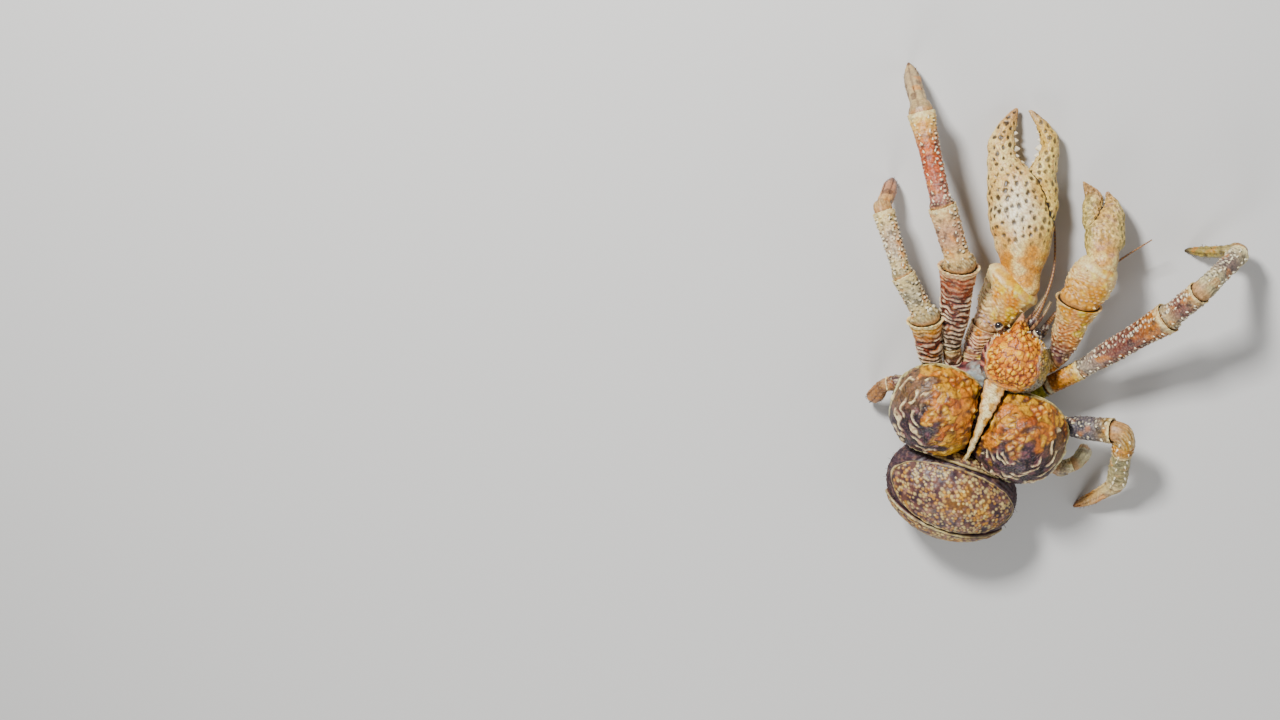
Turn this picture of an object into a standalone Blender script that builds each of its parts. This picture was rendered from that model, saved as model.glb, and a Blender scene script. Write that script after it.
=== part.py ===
"""Coconut crab, a life-size model of the whole animal at rest on a flat floor.

Metres, +Z up. The head points along +Y, +X is the animal's right side, and the
floor is z = 0. Both claws reach forward, two pairs of walking legs stand on
their tips, a small fourth pair is folded at the sides, and the abdomen rests
behind the shell.
"""
import math
import random

import bmesh
import bpy
from mathutils import Matrix, Vector

GAP = 0.0003
# A cutter stands a little prouder than the gap, since its corners swell less.
SWELL = 1.3
# Two faces that meet within this many degrees are made one.
FLAT_WITHIN = 0.6
BODY = Vector((-0.0034, -0.0931, 0.0))
RING = 10
DOME_AROUND = 20
DOME_ROWS = 12
UP = Vector((0.0, 0.0, 1.0))

# The core that the legs grow from: distance along Y, half width, bottom and top.
THORAX = ((-0.046, 0.026, 0.034, 0.050), (-0.030, 0.042, 0.027, 0.060),
          (0.010, 0.050, 0.024, 0.070), (0.042, 0.045, 0.025, 0.074),
          (0.056, 0.030, 0.030, 0.074), (0.068, 0.012, 0.042, 0.073),
          (0.098, 0.010, 0.048, 0.072))

# The shield over the head.
SHIELD_PIVOT = Vector((0.0130, 0.079, 0.070))
SHIELD_RADII = (0.037, 0.036, 0.045)
SHIELD_YAW = 9.0
SHIELD_PITCH = -14.0
SHIELD_ROLL = -8.0
ROSTRUM_REACH = 0.015
ORBIT_DEPTH = 0.004
# Ahead of its middle the shield narrows, and behind it the corners are squared.
SHIELD_TAPER = 0.28
SHIELD_SQUARENESS = 2.8
SHIELD_RIM = 0.070
# Rows of raised scales: degrees forward of the top, how many, how far to the sides.
SHIELD_SCALES = ((-24, 3, 34), (-6, 4, 46), (12, 3, 38), (28, 2, 22))
SCALE_RADIUS = 0.0066
SCALE_HEIGHT = 0.0018
SCALE_SIDES = 6
SCALE_BLUNT = 0.5
# The beak is at the middle of the front edge and an eye's notch at each side of
# it, all as shares of the half width.
BEAK_SPREAD = 0.5
ORBIT_PLACE = 0.5
ORBIT_SPREAD = 0.3

# The two gill covers behind it, and the strip between them.
LOBE_CENTRE = (0.047, -0.001, 0.063)
LOBE_RADII = (0.052, 0.054, 0.061)
LOBE_SQUARENESS = 2.35
LOBE_RIM_FRONT = 0.084
LOBE_RIM_REAR = 0.050
STRIP = ((-0.046, 0.0015, 0.088), (-0.020, 0.0025, 0.103), (0.010, 0.0050, 0.110),
         (0.030, 0.0090, 0.108), (0.050, 0.0115, 0.096))
STRIP_BOTTOM = 0.055
STRIP_FOOT = 0.6
STRIP_CROWN = 0.004

# Ridges on each gill cover: degrees behind the dome's top, from and to outward.
LOBE_RIDGES = ((-20, -16, 10), (-24, 20, 44), (-36, -20, 6), (-38, 16, 42),
               (-52, -12, 16), (4, 38, 60), (-12, 40, 62))
RIDGE_STEPS = 4
RIDGE_WIDTH = 0.0024
RIDGE_DEPTH = 0.0024

# The abdomen: a soft bag under overlapping plates.
BELLY_CENTRE = Vector((0.000, -0.091, 0.051))
BELLY_RADII = (0.074, 0.055, 0.052)
PLATE_THICKNESS = 0.0035
PLATE_COLUMNS = 8
PLATE_ROWS = 3
PLATE_ROOT = 0.0015
# Each plate: start and end angle over the back, half width as a share of the
# bag's, and how far its outline is rounded, from a square to an oval. Away from
# the middle the angles spread from the crown's, so that plates stay broad.
PLATE_CROWN = 100.0
PLATES = (("tergite_1", 28.0, 46.0, 0.60, 0.4), ("tergite_2", 49.0, 128.0, 0.93, 0.95),
          ("tergite_3", 131.0, 157.0, 0.90, 0.5), ("tergite_4", 160.0, 184.0, 0.78, 0.5),
          ("tail_fan", 187.0, 214.0, 0.44, 0.8))

# Limbs. Each starts at its hip inside the core; a segment has its length, its
# heading from +Y towards +X and its rise from the floor, both in degrees, and
# the half width and half depth at its root, middle and rim.
SEGMENT_STATIONS = 4
NECK_SPARE = 0.001
NECK_BEND_MOST = 2.3
# How many segments from the hip are cut clear of the core.
HIP_SEGMENTS = 3
# How far a segment's rim is set to the side of its own line.
LEAN = {"claw_left_carpus": -0.008}
# Ridges across the upper segments, how many and over which share of the length.
RUGAE = {"leg_2_merus": 7, "leg_3_merus": 6}
RUGAE_FROM = 0.12
RUGAE_TO = 0.90
RUGAE_DEPTH = 0.0010
# Rows of spines: share of the length from and to, count, angle round the segment
# from its right side over the top, and height.
SPINE_SIDES = 5
SPINE_SUNK = 0.7
SPINE_LEAN = 0.5
SPINE_GIRTH = 0.5
TOOTH_SIDES = 6
TOOTH_GIRTH = 0.75
TOOTH_BLUNT = 0.45
SPINES = {
    "leg_2_carpus": ((0.20, 0.92, 5, 62, 0.0042), (0.20, 0.92, 5, 118, 0.0042)),
    "leg_2_propodus": ((0.16, 0.92, 7, 70, 0.0036), (0.16, 0.92, 6, 128, 0.0036)),
    "leg_3_carpus": ((0.20, 0.92, 4, 62, 0.0038), (0.20, 0.92, 4, 118, 0.0038)),
    "leg_3_propodus": ((0.16, 0.92, 5, 70, 0.0034), (0.16, 0.92, 5, 128, 0.0034)),
    "claw_carpus": ((0.30, 0.85, 3, 40, 0.0040), (0.30, 0.85, 3, 100, 0.0040)),
}
DACTYL_BOW = 0.004
CLAW_ORANGE = (0.72, 0.52, 0.27)
LEG_RED = (0.60, 0.34, 0.20)
LIMBS = {
    "claw_left": {
        "hip": (-0.024, 0.048, 0.043),
        "segments": (
            ("ischium", 0.020, -14, 6, (0.012, 0.012), (0.013, 0.012), (0.013, 0.013)),
            ("merus", 0.034, 2, 9, (0.013, 0.013), (0.016, 0.015), (0.017, 0.016)),
            ("carpus", 0.062, 20, 8, (0.015, 0.015), (0.026, 0.020), (0.033, 0.021)),
        ),
        "hand": {
            "heading": -21, "rise": -15,
            # Along the hand: distance, shift to the side, half width, half depth.
            "palm": ((0.010, 0.000, 0.018, 0.015), (0.022, 0.000, 0.0235, 0.019),
                     (0.042, 0.000, 0.030, 0.022), (0.066, -0.001, 0.0355, 0.023),
                     (0.092, -0.001, 0.0360, 0.022), (0.112, -0.005, 0.032, 0.020),
                     (0.127, -0.015, 0.021, 0.017), (0.137, -0.021, 0.0155, 0.0145),
                     (0.153, -0.021, 0.0145, 0.013), (0.169, -0.016, 0.011, 0.010),
                     (0.182, -0.009, 0.006, 0.006), (0.189, -0.004, 0.002, 0.002)),
            "finger": ((0.064, 0.029, 0.004, 0.006), (0.080, 0.029, 0.009, 0.012),
                       (0.098, 0.026, 0.012, 0.014), (0.114, 0.022, 0.015, 0.015),
                       (0.126, 0.0235, 0.0145, 0.014), (0.140, 0.029, 0.0110, 0.013),
                       (0.154, 0.031, 0.0100, 0.012), (0.168, 0.0255, 0.0078, 0.009),
                       (0.180, 0.017, 0.005, 0.005), (0.186, 0.011, 0.002, 0.002)),
            "teeth": ((0.136, 0.0045), (0.144, 0.0060), (0.153, 0.0045), (0.162, 0.0035)),
        },
    },
    "claw_right": {
        "hip": (0.034, 0.066, 0.044),
        "segments": (
            ("ischium", 0.036, 44, 10, (0.011, 0.011), (0.012, 0.012), (0.012, 0.012)),
            ("merus", 0.076, -3, 15, (0.010, 0.011), (0.017, 0.016), (0.025, 0.019)),
            ("carpus", 0.048, 9, 4, (0.019, 0.016), (0.025, 0.020), (0.023, 0.018)),
        ),
        "hand": {
            "heading": -17, "rise": -42,
            "palm": ((0.012, 0.000, 0.017, 0.014), (0.024, 0.002, 0.0215, 0.016),
                     (0.038, 0.002, 0.0215, 0.017), (0.050, 0.005, 0.0180, 0.015),
                     (0.062, 0.007, 0.0145, 0.013), (0.069, 0.0088, 0.0100, 0.011),
                     (0.075, 0.0085, 0.0070, 0.008), (0.080, 0.0065, 0.0042, 0.005),
                     (0.0845, 0.0045, 0.0015, 0.002)),
            "finger": ((0.036, -0.013, 0.005, 0.006), (0.046, -0.0125, 0.009, 0.010),
                       (0.058, -0.0115, 0.0102, 0.011), (0.068, -0.0112, 0.0106, 0.010),
                       (0.080, -0.0115, 0.0096, 0.008), (0.089, -0.0145, 0.0068, 0.006),
                       (0.097, -0.0210, 0.0018, 0.002)),
            "teeth": ((0.068, 0.0020), (0.074, 0.0022), (0.079, 0.0018)),
        },
    },
    "leg_2_left": {
        "hip": (-0.042, 0.034, 0.042),
        "segments": (
            ("ischium", 0.037, -24, 20, (0.009, 0.010), (0.009, 0.011), (0.010, 0.011)),
            ("merus", 0.113, -15, 23, (0.009, 0.010), (0.016, 0.013), (0.021, 0.015)),
            ("carpus", 0.067, -36, -2, (0.013, 0.012), (0.014, 0.013), (0.015, 0.013)),
            ("propodus", 0.104, -33, -19, (0.010, 0.010), (0.011, 0.010), (0.015, 0.011)),
            ("dactylus", 0.076, -40, -58, (0.009, 0.009), (0.009, 0.008), (0.002, 0.002)),
        ),
    },
    "leg_3_left": {
        "hip": (-0.044, 0.012, 0.041),
        "segments": (
            ("ischium", 0.034, -46, 15, (0.009, 0.009), (0.009, 0.010), (0.009, 0.010)),
            ("merus", 0.073, -26, 26, (0.010, 0.009), (0.014, 0.012), (0.019, 0.013)),
            ("carpus", 0.053, -47, -2, (0.012, 0.011), (0.012, 0.011), (0.013, 0.011)),
            ("propodus", 0.075, -38, -22, (0.009, 0.009), (0.010, 0.009), (0.012, 0.010)),
            ("dactylus", 0.058, 6, -67, (0.008, 0.008), (0.008, 0.007), (0.002, 0.002)),
        ),
    },
    "leg_4_left": {
        "hip": (-0.036, -0.012, 0.038),
        "segments": (
            ("merus", 0.061, -74, 10, (0.009, 0.008), (0.010, 0.008), (0.010, 0.008)),
            ("carpus", 0.019, -122, -12, (0.008, 0.008), (0.008, 0.008), (0.008, 0.008)),
            ("chela", 0.047, -169, -46, (0.007, 0.007), (0.009, 0.006), (0.002, 0.002)),
        ),
    },
    "leg_2_right": {
        "hip": (0.044, 0.036, 0.042),
        "segments": (
            ("ischium", 0.067, 40, 8, (0.010, 0.010), (0.010, 0.011), (0.011, 0.011)),
            ("merus", 0.122, 32, 20, (0.009, 0.010), (0.013, 0.013), (0.017, 0.016)),
            ("carpus", 0.057, 23, 23, (0.012, 0.012), (0.012, 0.013), (0.013, 0.013)),
            ("propodus", 0.093, 47, -59, (0.010, 0.010), (0.010, 0.010), (0.011, 0.011)),
            ("dactylus", 0.068, -118, -33, (0.008, 0.008), (0.006, 0.007), (0.002, 0.002)),
        ),
    },
    "leg_3_right": {
        "hip": (0.042, 0.013, 0.041),
        "segments": (
            ("ischium", 0.053, 83, 10, (0.009, 0.009), (0.010, 0.010), (0.010, 0.010)),
            ("merus", 0.070, 68, 24, (0.010, 0.010), (0.013, 0.012), (0.014, 0.013)),
            ("carpus", 0.034, 167, -25, (0.011, 0.011), (0.012, 0.011), (0.011, 0.011)),
            ("propodus", 0.058, 165, -36, (0.010, 0.010), (0.011, 0.010), (0.011, 0.010)),
            ("dactylus", 0.065, -149, -29, (0.009, 0.008), (0.007, 0.006), (0.002, 0.002)),
        ),
    },
    "leg_4_right": {
        "hip": (0.036, -0.010, 0.040),
        "segments": (
            ("merus", 0.073, 107, 4, (0.009, 0.008), (0.011, 0.008), (0.011, 0.008)),
            ("carpus", 0.021, 48, 0, (0.008, 0.008), (0.008, 0.008), (0.008, 0.008)),
            ("chela", 0.036, 34, -72, (0.008, 0.007), (0.009, 0.006), (0.003, 0.003)),
        ),
    },
}

# Eyes: where the stalk leaves the head, and the middle of the eye.
EYE_RADIUS = 0.0044
EYE_ROWS = 7
EYE_SUNK = 0.6
# The stalk's radius at shares of its length.
STALK = ((0.0, 0.0034), (0.5, 0.0029), (1.0, 0.0037))
EYES = (("left", (-0.002, 0.092, 0.072), (-0.0175, 0.1100, 0.0790)),
        ("right", (0.010, 0.094, 0.070), (0.0245, 0.1165, 0.0770)))

# Feelers and mouth legs: the curve's points, radii along it, steps and sides.
FEELER_COLOUR = (0.62, 0.42, 0.28)
FEELERS = (
    ("antenna_left", ((0.006, 0.090, 0.062), (0.014, 0.112, 0.062), (0.020, 0.140, 0.060),
                      (0.020, 0.180, 0.044), (0.006, 0.222, 0.022), (-0.012, 0.258, 0.012)),
     (0.0045, 0.0040, 0.0018, 0.0014, 0.0011, 0.0008), 16, 6, FEELER_COLOUR),
    ("antenna_right", ((0.016, 0.084, 0.060), (0.030, 0.106, 0.054), (0.040, 0.132, 0.036),
                       (0.062, 0.174, 0.032), (0.084, 0.214, 0.040), (0.106, 0.248, 0.050)),
     (0.0045, 0.0040, 0.0018, 0.0014, 0.0011, 0.0008), 16, 6, FEELER_COLOUR),
    ("antennule_left", ((0.004, 0.094, 0.070), (0.006, 0.114, 0.071), (0.012, 0.136, 0.082),
                        (0.018, 0.158, 0.080)),
     (0.0030, 0.0024, 0.0014, 0.0008), 10, 6, FEELER_COLOUR),
    ("antennule_right", ((0.010, 0.093, 0.069), (0.017, 0.114, 0.069), (0.023, 0.134, 0.077),
                         (0.026, 0.152, 0.074)),
     (0.0030, 0.0024, 0.0014, 0.0008), 10, 6, FEELER_COLOUR),
    ("maxilliped_left", ((0.000, 0.060, 0.040), (0.000, 0.086, 0.034), (0.002, 0.104, 0.036),
                         (0.004, 0.106, 0.050)),
     (0.0060, 0.0064, 0.0050, 0.0030), 10, 8, FEELER_COLOUR),
    ("maxilliped_right", ((0.013, 0.060, 0.040), (0.014, 0.086, 0.034), (0.014, 0.104, 0.036),
                          (0.013, 0.106, 0.050)),
     (0.0060, 0.0064, 0.0050, 0.0030), 10, 8, FEELER_COLOUR),
)


def prepare_scene():
    for thing in list(bpy.data.objects):
        bpy.data.objects.remove(thing, do_unlink=True)
    made = []
    for name in ("coconut_crab", "cutters"):
        group = bpy.data.collections.new(name)
        bpy.context.scene.collection.children.link(group)
        made.append(group)
    return made


MODEL, CUTTERS = prepare_scene()


def material(name, colour, roughness):
    made = bpy.data.materials.new(name)
    made.use_nodes = True
    shader = made.node_tree.nodes["Principled BSDF"]
    shader.inputs["Base Color"].default_value = (*colour, 1.0)
    shader.inputs["Roughness"].default_value = roughness
    return made


def node(name, bm, colour, roughness=0.5, group=None):
    """Turn a bmesh, made about the body's own middle, into an object in its place."""
    bmesh.ops.remove_doubles(bm, verts=bm.verts, dist=0.00001)
    bmesh.ops.recalc_face_normals(bm, faces=bm.faces)
    bmesh.ops.triangulate(bm, faces=bm.faces)
    mesh = bpy.data.meshes.new(name)
    bm.to_mesh(mesh)
    bm.free()
    mesh.shade_smooth()
    mesh.set_sharp_from_angle(angle=math.radians(40))
    mesh.materials.append(material(name, colour, roughness))
    made = bpy.data.objects.new(name, mesh)
    made.location = BODY
    (group or MODEL).objects.link(made)
    if group:
        made.hide_render = True
        made.display_type = "WIRE"
    bpy.context.view_layer.update()
    return made


def apply_modifiers(part):
    graph = bpy.context.evaluated_depsgraph_get()
    mesh = bpy.data.meshes.new_from_object(part.evaluated_get(graph))
    part.modifiers.clear()
    part.data = mesh
    bpy.context.view_layer.update()


def keep_largest(part):
    """Drop all but the largest closed surface of a part, and tidy what is left."""
    bm = bmesh.new()
    bm.from_mesh(part.data)
    bmesh.ops.remove_doubles(bm, verts=bm.verts, dist=0.00001)
    bmesh.ops.dissolve_degenerate(bm, dist=0.00001, edges=bm.edges)
    left = set(bm.faces)
    bodies = []
    while left:
        body = {left.pop()}
        edge_of_body = list(body)
        while edge_of_body:
            face = edge_of_body.pop()
            for edge in face.edges:
                for other in edge.link_faces:
                    if other in left:
                        left.remove(other)
                        body.add(other)
                        edge_of_body.append(other)
        bodies.append(body)
    bodies.sort(key=lambda body: sum(face.calc_area() for face in body))
    for body in bodies[:-1]:
        bmesh.ops.delete(bm, geom=list(body), context="FACES")
    bmesh.ops.dissolve_limit(bm, angle_limit=math.radians(FLAT_WITHIN), verts=bm.verts,
                             edges=bm.edges)
    bmesh.ops.triangulate(bm, faces=bm.faces)
    bm.to_mesh(part.data)
    bm.free()


def boolean(part, operation, operand):
    """Join a part with a collection, or cut it by one other part."""
    change = part.modifiers.new(operation.lower(), "BOOLEAN")
    change.operation = operation
    if isinstance(operand, bpy.types.Collection):
        change.operand_type = "COLLECTION"
        change.collection = operand
    else:
        change.object = operand
    apply_modifiers(part)
    keep_largest(part)


def cut_clear(part, *neighbours):
    """Cut a part so that it meets each neighbour face to face, a gap away."""
    for neighbour in neighbours:
        cutter = bpy.data.objects.new(neighbour.name + "_cutter", neighbour.data.copy())
        cutter.location = neighbour.location
        cutter.hide_render = True
        cutter.display_type = "WIRE"
        CUTTERS.objects.link(cutter)
        swell = cutter.modifiers.new("gap", "DISPLACE")
        swell.strength = GAP * SWELL
        swell.mid_level = 0.0
        bpy.context.view_layer.update()
        boolean(part, "DIFFERENCE", cutter)
        bpy.data.objects.remove(cutter, do_unlink=True)


def fuse(part, pieces):
    """Join small closed pieces, given in the body's own frame, to a part."""
    group = bpy.data.collections.new("joined")
    bpy.context.scene.collection.children.link(group)
    for number, bm in enumerate(pieces):
        node(f"piece_{number}", bm, (0.5, 0.5, 0.5), group=group)
    boolean(part, "UNION", group)
    for piece in list(group.objects):
        bpy.data.objects.remove(piece, do_unlink=True)
    bpy.data.collections.remove(group)


def spine(root, way, radius, length, sides=SPINE_SIDES, blunt=0.0):
    """A small cone that stands on a surface, its root sunk in."""
    bm = bmesh.new()
    sunk = length * SPINE_SUNK
    bmesh.ops.create_cone(bm, cap_ends=True, segments=sides, radius1=radius,
                          radius2=radius * blunt, depth=length + sunk)
    turn = UP.rotation_difference(way).to_matrix().to_4x4()
    middle = root + way * (length - sunk) / 2
    bmesh.ops.transform(bm, matrix=Matrix.Translation(middle) @ turn, verts=bm.verts)
    return bm


def loft(rings):
    """A closed skin through rings of equal counts of points."""
    bm = bmesh.new()
    rows = [[bm.verts.new(point) for point in ring] for ring in rings]
    count = len(rows[0])
    for low, high in zip(rows, rows[1:]):
        for index in range(count):
            after = (index + 1) % count
            bm.faces.new((low[index], low[after], high[after], high[index]))
    bm.faces.new(rows[0][::-1])
    bm.faces.new(rows[-1])
    return bm


def cut_by_plane(bm, point, outward):
    """Cut off what lies past a plane, and close the cut."""
    everything = bm.verts[:] + bm.edges[:] + bm.faces[:]
    cut = bmesh.ops.bisect_plane(bm, geom=everything, dist=0.000001, plane_co=point,
                                 plane_no=outward, clear_outer=True)
    rim = [edge for edge in cut["geom_cut"] if isinstance(edge, bmesh.types.BMEdge)]
    if rim:
        bmesh.ops.holes_fill(bm, edges=rim, sides=0)


def flat_below(bm, height=0.0):
    """Cut a form off level; a leg's tip then stands on a small flat."""
    cut_by_plane(bm, Vector((0, 0, height)), -UP)


def direction(heading, rise):
    turn = math.radians(heading)
    lift = math.radians(rise)
    level = math.cos(lift)
    return Vector((level * math.sin(turn), level * math.cos(turn), math.sin(lift)))


def frame_along(axis):
    """Two directions across an axis: sideways, and up."""
    side = axis.cross(UP).normalized()
    return side, side.cross(axis).normalized()


def ring_at(centre, side, lift, half_width, half_depth, count=RING):
    step = math.tau / count
    return [centre + side * (half_width * math.cos(step * index))
            + lift * (half_depth * math.sin(step * index)) for index in range(count)]


def between(a, b, share):
    return a + (b - a) * share


def section(root, middle, rim, share):
    """Half width and half depth along a segment, from its sizes at three places."""
    if share < 0.5:
        ease = math.sin(math.pi * share)
        return tuple(between(root[k], middle[k], ease) for k in (0, 1))
    ease = 1.0 - math.cos(math.pi * (share - 0.5))
    return tuple(between(middle[k], rim[k], ease) for k in (0, 1))


def neck_length(radius, before, after):
    """How far before its bend a joint's meeting face lies."""
    bend = min(before.angle(after), NECK_BEND_MOST)
    return radius * math.tan(bend / 2) + NECK_SPARE


class Segment:
    """One length of a limb, from the face of the joint behind it to the next."""

    def __init__(self, start, before, end, neck_before, neck_after, sizes, lean, bow):
        self.start = start
        self.before = before
        self.axis = (end - start).normalized()
        self.side, self.lift = frame_along(self.axis)
        self.neck = neck_before
        self.length = (end - start).length - neck_after - (GAP / 2 if neck_after else 0.0)
        self.sizes = sizes
        self.lean = lean
        self.bow = bow

    def centre(self, share):
        along = between(self.neck, self.length, share)
        bend = self.lift * (self.bow * math.sin(math.pi * share))
        return self.start + self.axis * along + bend + self.side * (self.lean * share)

    def surface(self, share, angle):
        """A place on the segment's skin, and the way out of it."""
        half_width, half_depth = section(*self.sizes, share)
        turn = math.radians(angle)
        place = self.centre(share) + self.side * (half_width * math.cos(turn))
        place += self.lift * (half_depth * math.sin(turn))
        out = self.side * (math.cos(turn) / half_width) + self.lift * (math.sin(turn) / half_depth)
        return place, out.normalized()

    def elbow_rings(self, root):
        """The bent neck, from the meeting face behind to the segment's own line."""
        turn_back = self.axis.rotation_difference(self.before)
        half_back = self.axis.rotation_difference((self.axis + self.before).normalized())
        face = self.start - self.before * (self.neck - GAP / 2)
        return [ring_at(face, turn_back @ self.side, turn_back @ self.lift, *root),
                ring_at(self.start, half_back @ self.side, half_back @ self.lift, *root)]

    def rings(self, ridges=0):
        made = self.elbow_rings(self.sizes[0]) if self.before else []
        shares = [number / SEGMENT_STATIONS for number in range(SEGMENT_STATIONS + 1)]
        if ridges:
            made_between = [RUGAE_FROM + (RUGAE_TO - RUGAE_FROM) * number / (2 * ridges)
                            for number in range(2 * ridges + 1)]
            shares = [0.0] + made_between + [1.0]
        for number, share in enumerate(shares):
            half_width, half_depth = section(*self.sizes, share)
            if ridges and number % 2 == 1 and share < RUGAE_TO:
                half_width -= RUGAE_DEPTH
                half_depth -= RUGAE_DEPTH
            made.append(ring_at(self.centre(share), self.side, self.lift,
                                half_width, half_depth))
        return made


def spine_row(segment, share_low, share_high, count, angle, size, draw):
    """Spines along one edge of a segment, leaning towards its tip."""
    pieces = []
    for number in range(count):
        share = between(share_low, share_high, (number + 0.5) / count)
        place, out = segment.surface(share, angle + draw.uniform(-6, 6))
        way = (out + segment.axis * SPINE_LEAN).normalized()
        height = size * draw.uniform(0.8, 1.2)
        pieces.append(spine(place, way, height * SPINE_GIRTH, height))
    return pieces


def limb_path(limb):
    """The bends of a limb, from its hip to its tip, and each segment's direction."""
    bends = [Vector(limb["hip"])]
    ways = []
    for _, length, heading, rise, *_ in limb["segments"]:
        way = direction(heading, rise)
        ways.append(way)
        bends.append(bends[-1] + way * length)
    return bends, ways


def make_limb(name, limb):
    """All the segments of one limb, each its own part, in order from the hip."""
    bends, ways = limb_path(limb)
    hand = limb.get("hand")
    roots = [segment[4] for segment in limb["segments"]]
    if hand:
        ways.append(direction(hand["heading"], hand["rise"]))
        roots.append(hand["palm"][0][2:])
    necks = [0.0]
    for number in range(1, len(ways)):
        necks.append(neck_length(max(roots[number]), ways[number - 1], ways[number]))
    necks.append(0.0)
    draw = random.Random(len(name) + len(ways))
    made = []
    kind = name.rsplit("_", 1)[0]
    for number, (part, _, _, _, *sizes) in enumerate(limb["segments"]):
        before = ways[number - 1] if number else None
        tip = number == len(ways) - 1
        segment = Segment(bends[number], before, bends[number + 1], necks[number],
                          necks[number + 1], sizes, LEAN.get(f"{name}_{part}", 0.0),
                          DACTYL_BOW if tip else 0.0)
        bm = loft(segment.rings(RUGAE.get(f"{kind}_{part}", 0)))
        if tip:
            flat_below(bm)
        colour = CLAW_ORANGE if hand else LEG_RED
        made.append(node(f"{name}_{part}", bm, colour))
        pieces = []
        for row in SPINES.get(f"{kind}_{part}", ()):
            pieces += spine_row(segment, *row, draw)
        if pieces:
            fuse(made[-1], pieces)
    if hand:
        made += make_hand(name, hand, bends[-1], ways[-2], ways[-1], necks[-2])
    return made


def hand_rings(stations, start, axis):
    """Rings of a palm or finger, each set off to the side of the hand's axis."""
    side, lift = frame_along(axis)
    rings = []
    for along, shift, half_width, half_depth in stations:
        centre = start + axis * along + side * shift
        rings.append(ring_at(centre, side, lift, half_width, half_depth))
    return rings


def make_hand(name, hand, start, before, axis, neck):
    """The propodus, which ends in the fixed finger, and the movable finger."""
    palm = hand_rings(hand["palm"], start, axis)
    root = hand["palm"][0][2:]
    side, lift = frame_along(axis)
    turn_back = axis.rotation_difference(before)
    half_back = axis.rotation_difference((axis + before).normalized())
    face = start - before * (neck - GAP / 2)
    palm.insert(0, ring_at(start, half_back @ side, half_back @ lift, *root))
    palm.insert(0, ring_at(face, turn_back @ side, turn_back @ lift, *root))
    finger = loft(hand_rings(hand["finger"], start, axis))
    flat_below(finger)
    movable = node(f"{name}_dactylus", finger, CLAW_ORANGE)
    fixed = loft(palm)
    flat_below(fixed)
    propodus = node(f"{name}_propodus", fixed, CLAW_ORANGE)
    inward = 1 if hand["finger"][0][1] > 0 else -1
    fuse(propodus, finger_teeth(hand, "palm", start, axis, inward))
    fuse(movable, finger_teeth(hand, "finger", start, axis, -inward))
    cut_clear(propodus, movable)
    return [propodus, movable]


def finger_teeth(hand, part, start, axis, inward):
    """Blunt teeth along the inner edge of a finger."""
    side, _ = frame_along(axis)
    stations = hand[part]
    pieces = []
    for along, size in hand["teeth"]:
        for low, high in zip(stations, stations[1:]):
            if low[0] <= along < high[0]:
                share = (along - low[0]) / (high[0] - low[0])
                shift = between(low[1], high[1], share)
                half_width = between(low[2], high[2], share)
        root = start + axis * along + side * (shift + inward * half_width)
        pieces.append(spine(root, side * inward, size * TOOTH_GIRTH, size,
                            TOOTH_SIDES, TOOTH_BLUNT))
    return pieces


def ellipsoid(centre, radii, around=DOME_AROUND, rows=DOME_ROWS):
    bm = bmesh.new()
    bmesh.ops.create_uvsphere(bm, u_segments=around, v_segments=rows, radius=1.0)
    bmesh.ops.scale(bm, vec=radii, verts=bm.verts)
    bmesh.ops.translate(bm, vec=centre, verts=bm.verts)
    return bm


def make_thorax():
    """The core under the shell: breast plate, flanks and mouth frame in one."""
    rings = []
    for y, half_width, low, high in THORAX:
        centre = Vector((0, y, (low + high) / 2))
        rings.append(ring_at(centre, Vector((1, 0, 0)), UP, half_width, (high - low) / 2,
                             DOME_AROUND))
    return node("thorax", loft(rings), (0.45, 0.25, 0.20))


def make_shield(thorax):
    """The arched front of the shell, drawn out into a rostrum between the eyes."""
    bm = ellipsoid(Vector(), SHIELD_RADII)
    across, length, _ = SHIELD_RADII
    for vert in bm.verts:
        forward = vert.co.y / length
        aside = abs(vert.co.x) / across
        if forward < 0:
            square = aside ** SHIELD_SQUARENESS + abs(forward) ** SHIELD_SQUARENESS
            fill = math.hypot(aside, forward) / square ** (1 / SHIELD_SQUARENESS)
            vert.co.x *= fill
            vert.co.y *= fill
        if forward > 0:
            beak = max(0.0, 1.0 - aside / BEAK_SPREAD)
            orbit = max(0.0, 1.0 - abs(aside - ORBIT_PLACE) / ORBIT_SPREAD)
            vert.co.y += (ROSTRUM_REACH * beak - ORBIT_DEPTH * orbit) * forward ** 3
            vert.co.x *= 1.0 - SHIELD_TAPER * forward ** 2
    turn = Matrix.Rotation(math.radians(SHIELD_YAW), 4, "Z")
    turn @= Matrix.Rotation(math.radians(SHIELD_PITCH), 4, "X")
    turn @= Matrix.Rotation(math.radians(SHIELD_ROLL), 4, "Y")
    bmesh.ops.transform(bm, matrix=Matrix.Translation(SHIELD_PIVOT) @ turn, verts=bm.verts)
    flat_below(bm, SHIELD_RIM)
    shield = node("carapace_shield", bm, (0.78, 0.38, 0.10))
    cut_clear(shield, thorax)
    draw = random.Random(5)
    scales = []
    for north, count, spread in SHIELD_SCALES:
        for number in range(count):
            east = spread * (2 * (number + 0.5) / count - 1) + draw.uniform(-2, 2)
            out = Vector((math.sin(math.radians(east)) * math.cos(math.radians(north)),
                          math.sin(math.radians(north)),
                          math.cos(math.radians(east)) * math.cos(math.radians(north))))
            place = Vector([out[k] * SHIELD_RADII[k] for k in range(3)])
            way = Vector([out[k] / SHIELD_RADII[k] for k in range(3)]).normalized()
            root = SHIELD_PIVOT + turn.to_3x3() @ place
            size = SCALE_RADIUS * draw.uniform(0.8, 1.15)
            scales.append(spine(root, turn.to_3x3() @ way, size, SCALE_HEIGHT, SCALE_SIDES,
                                SCALE_BLUNT))
    fuse(shield, scales)
    return shield


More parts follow.
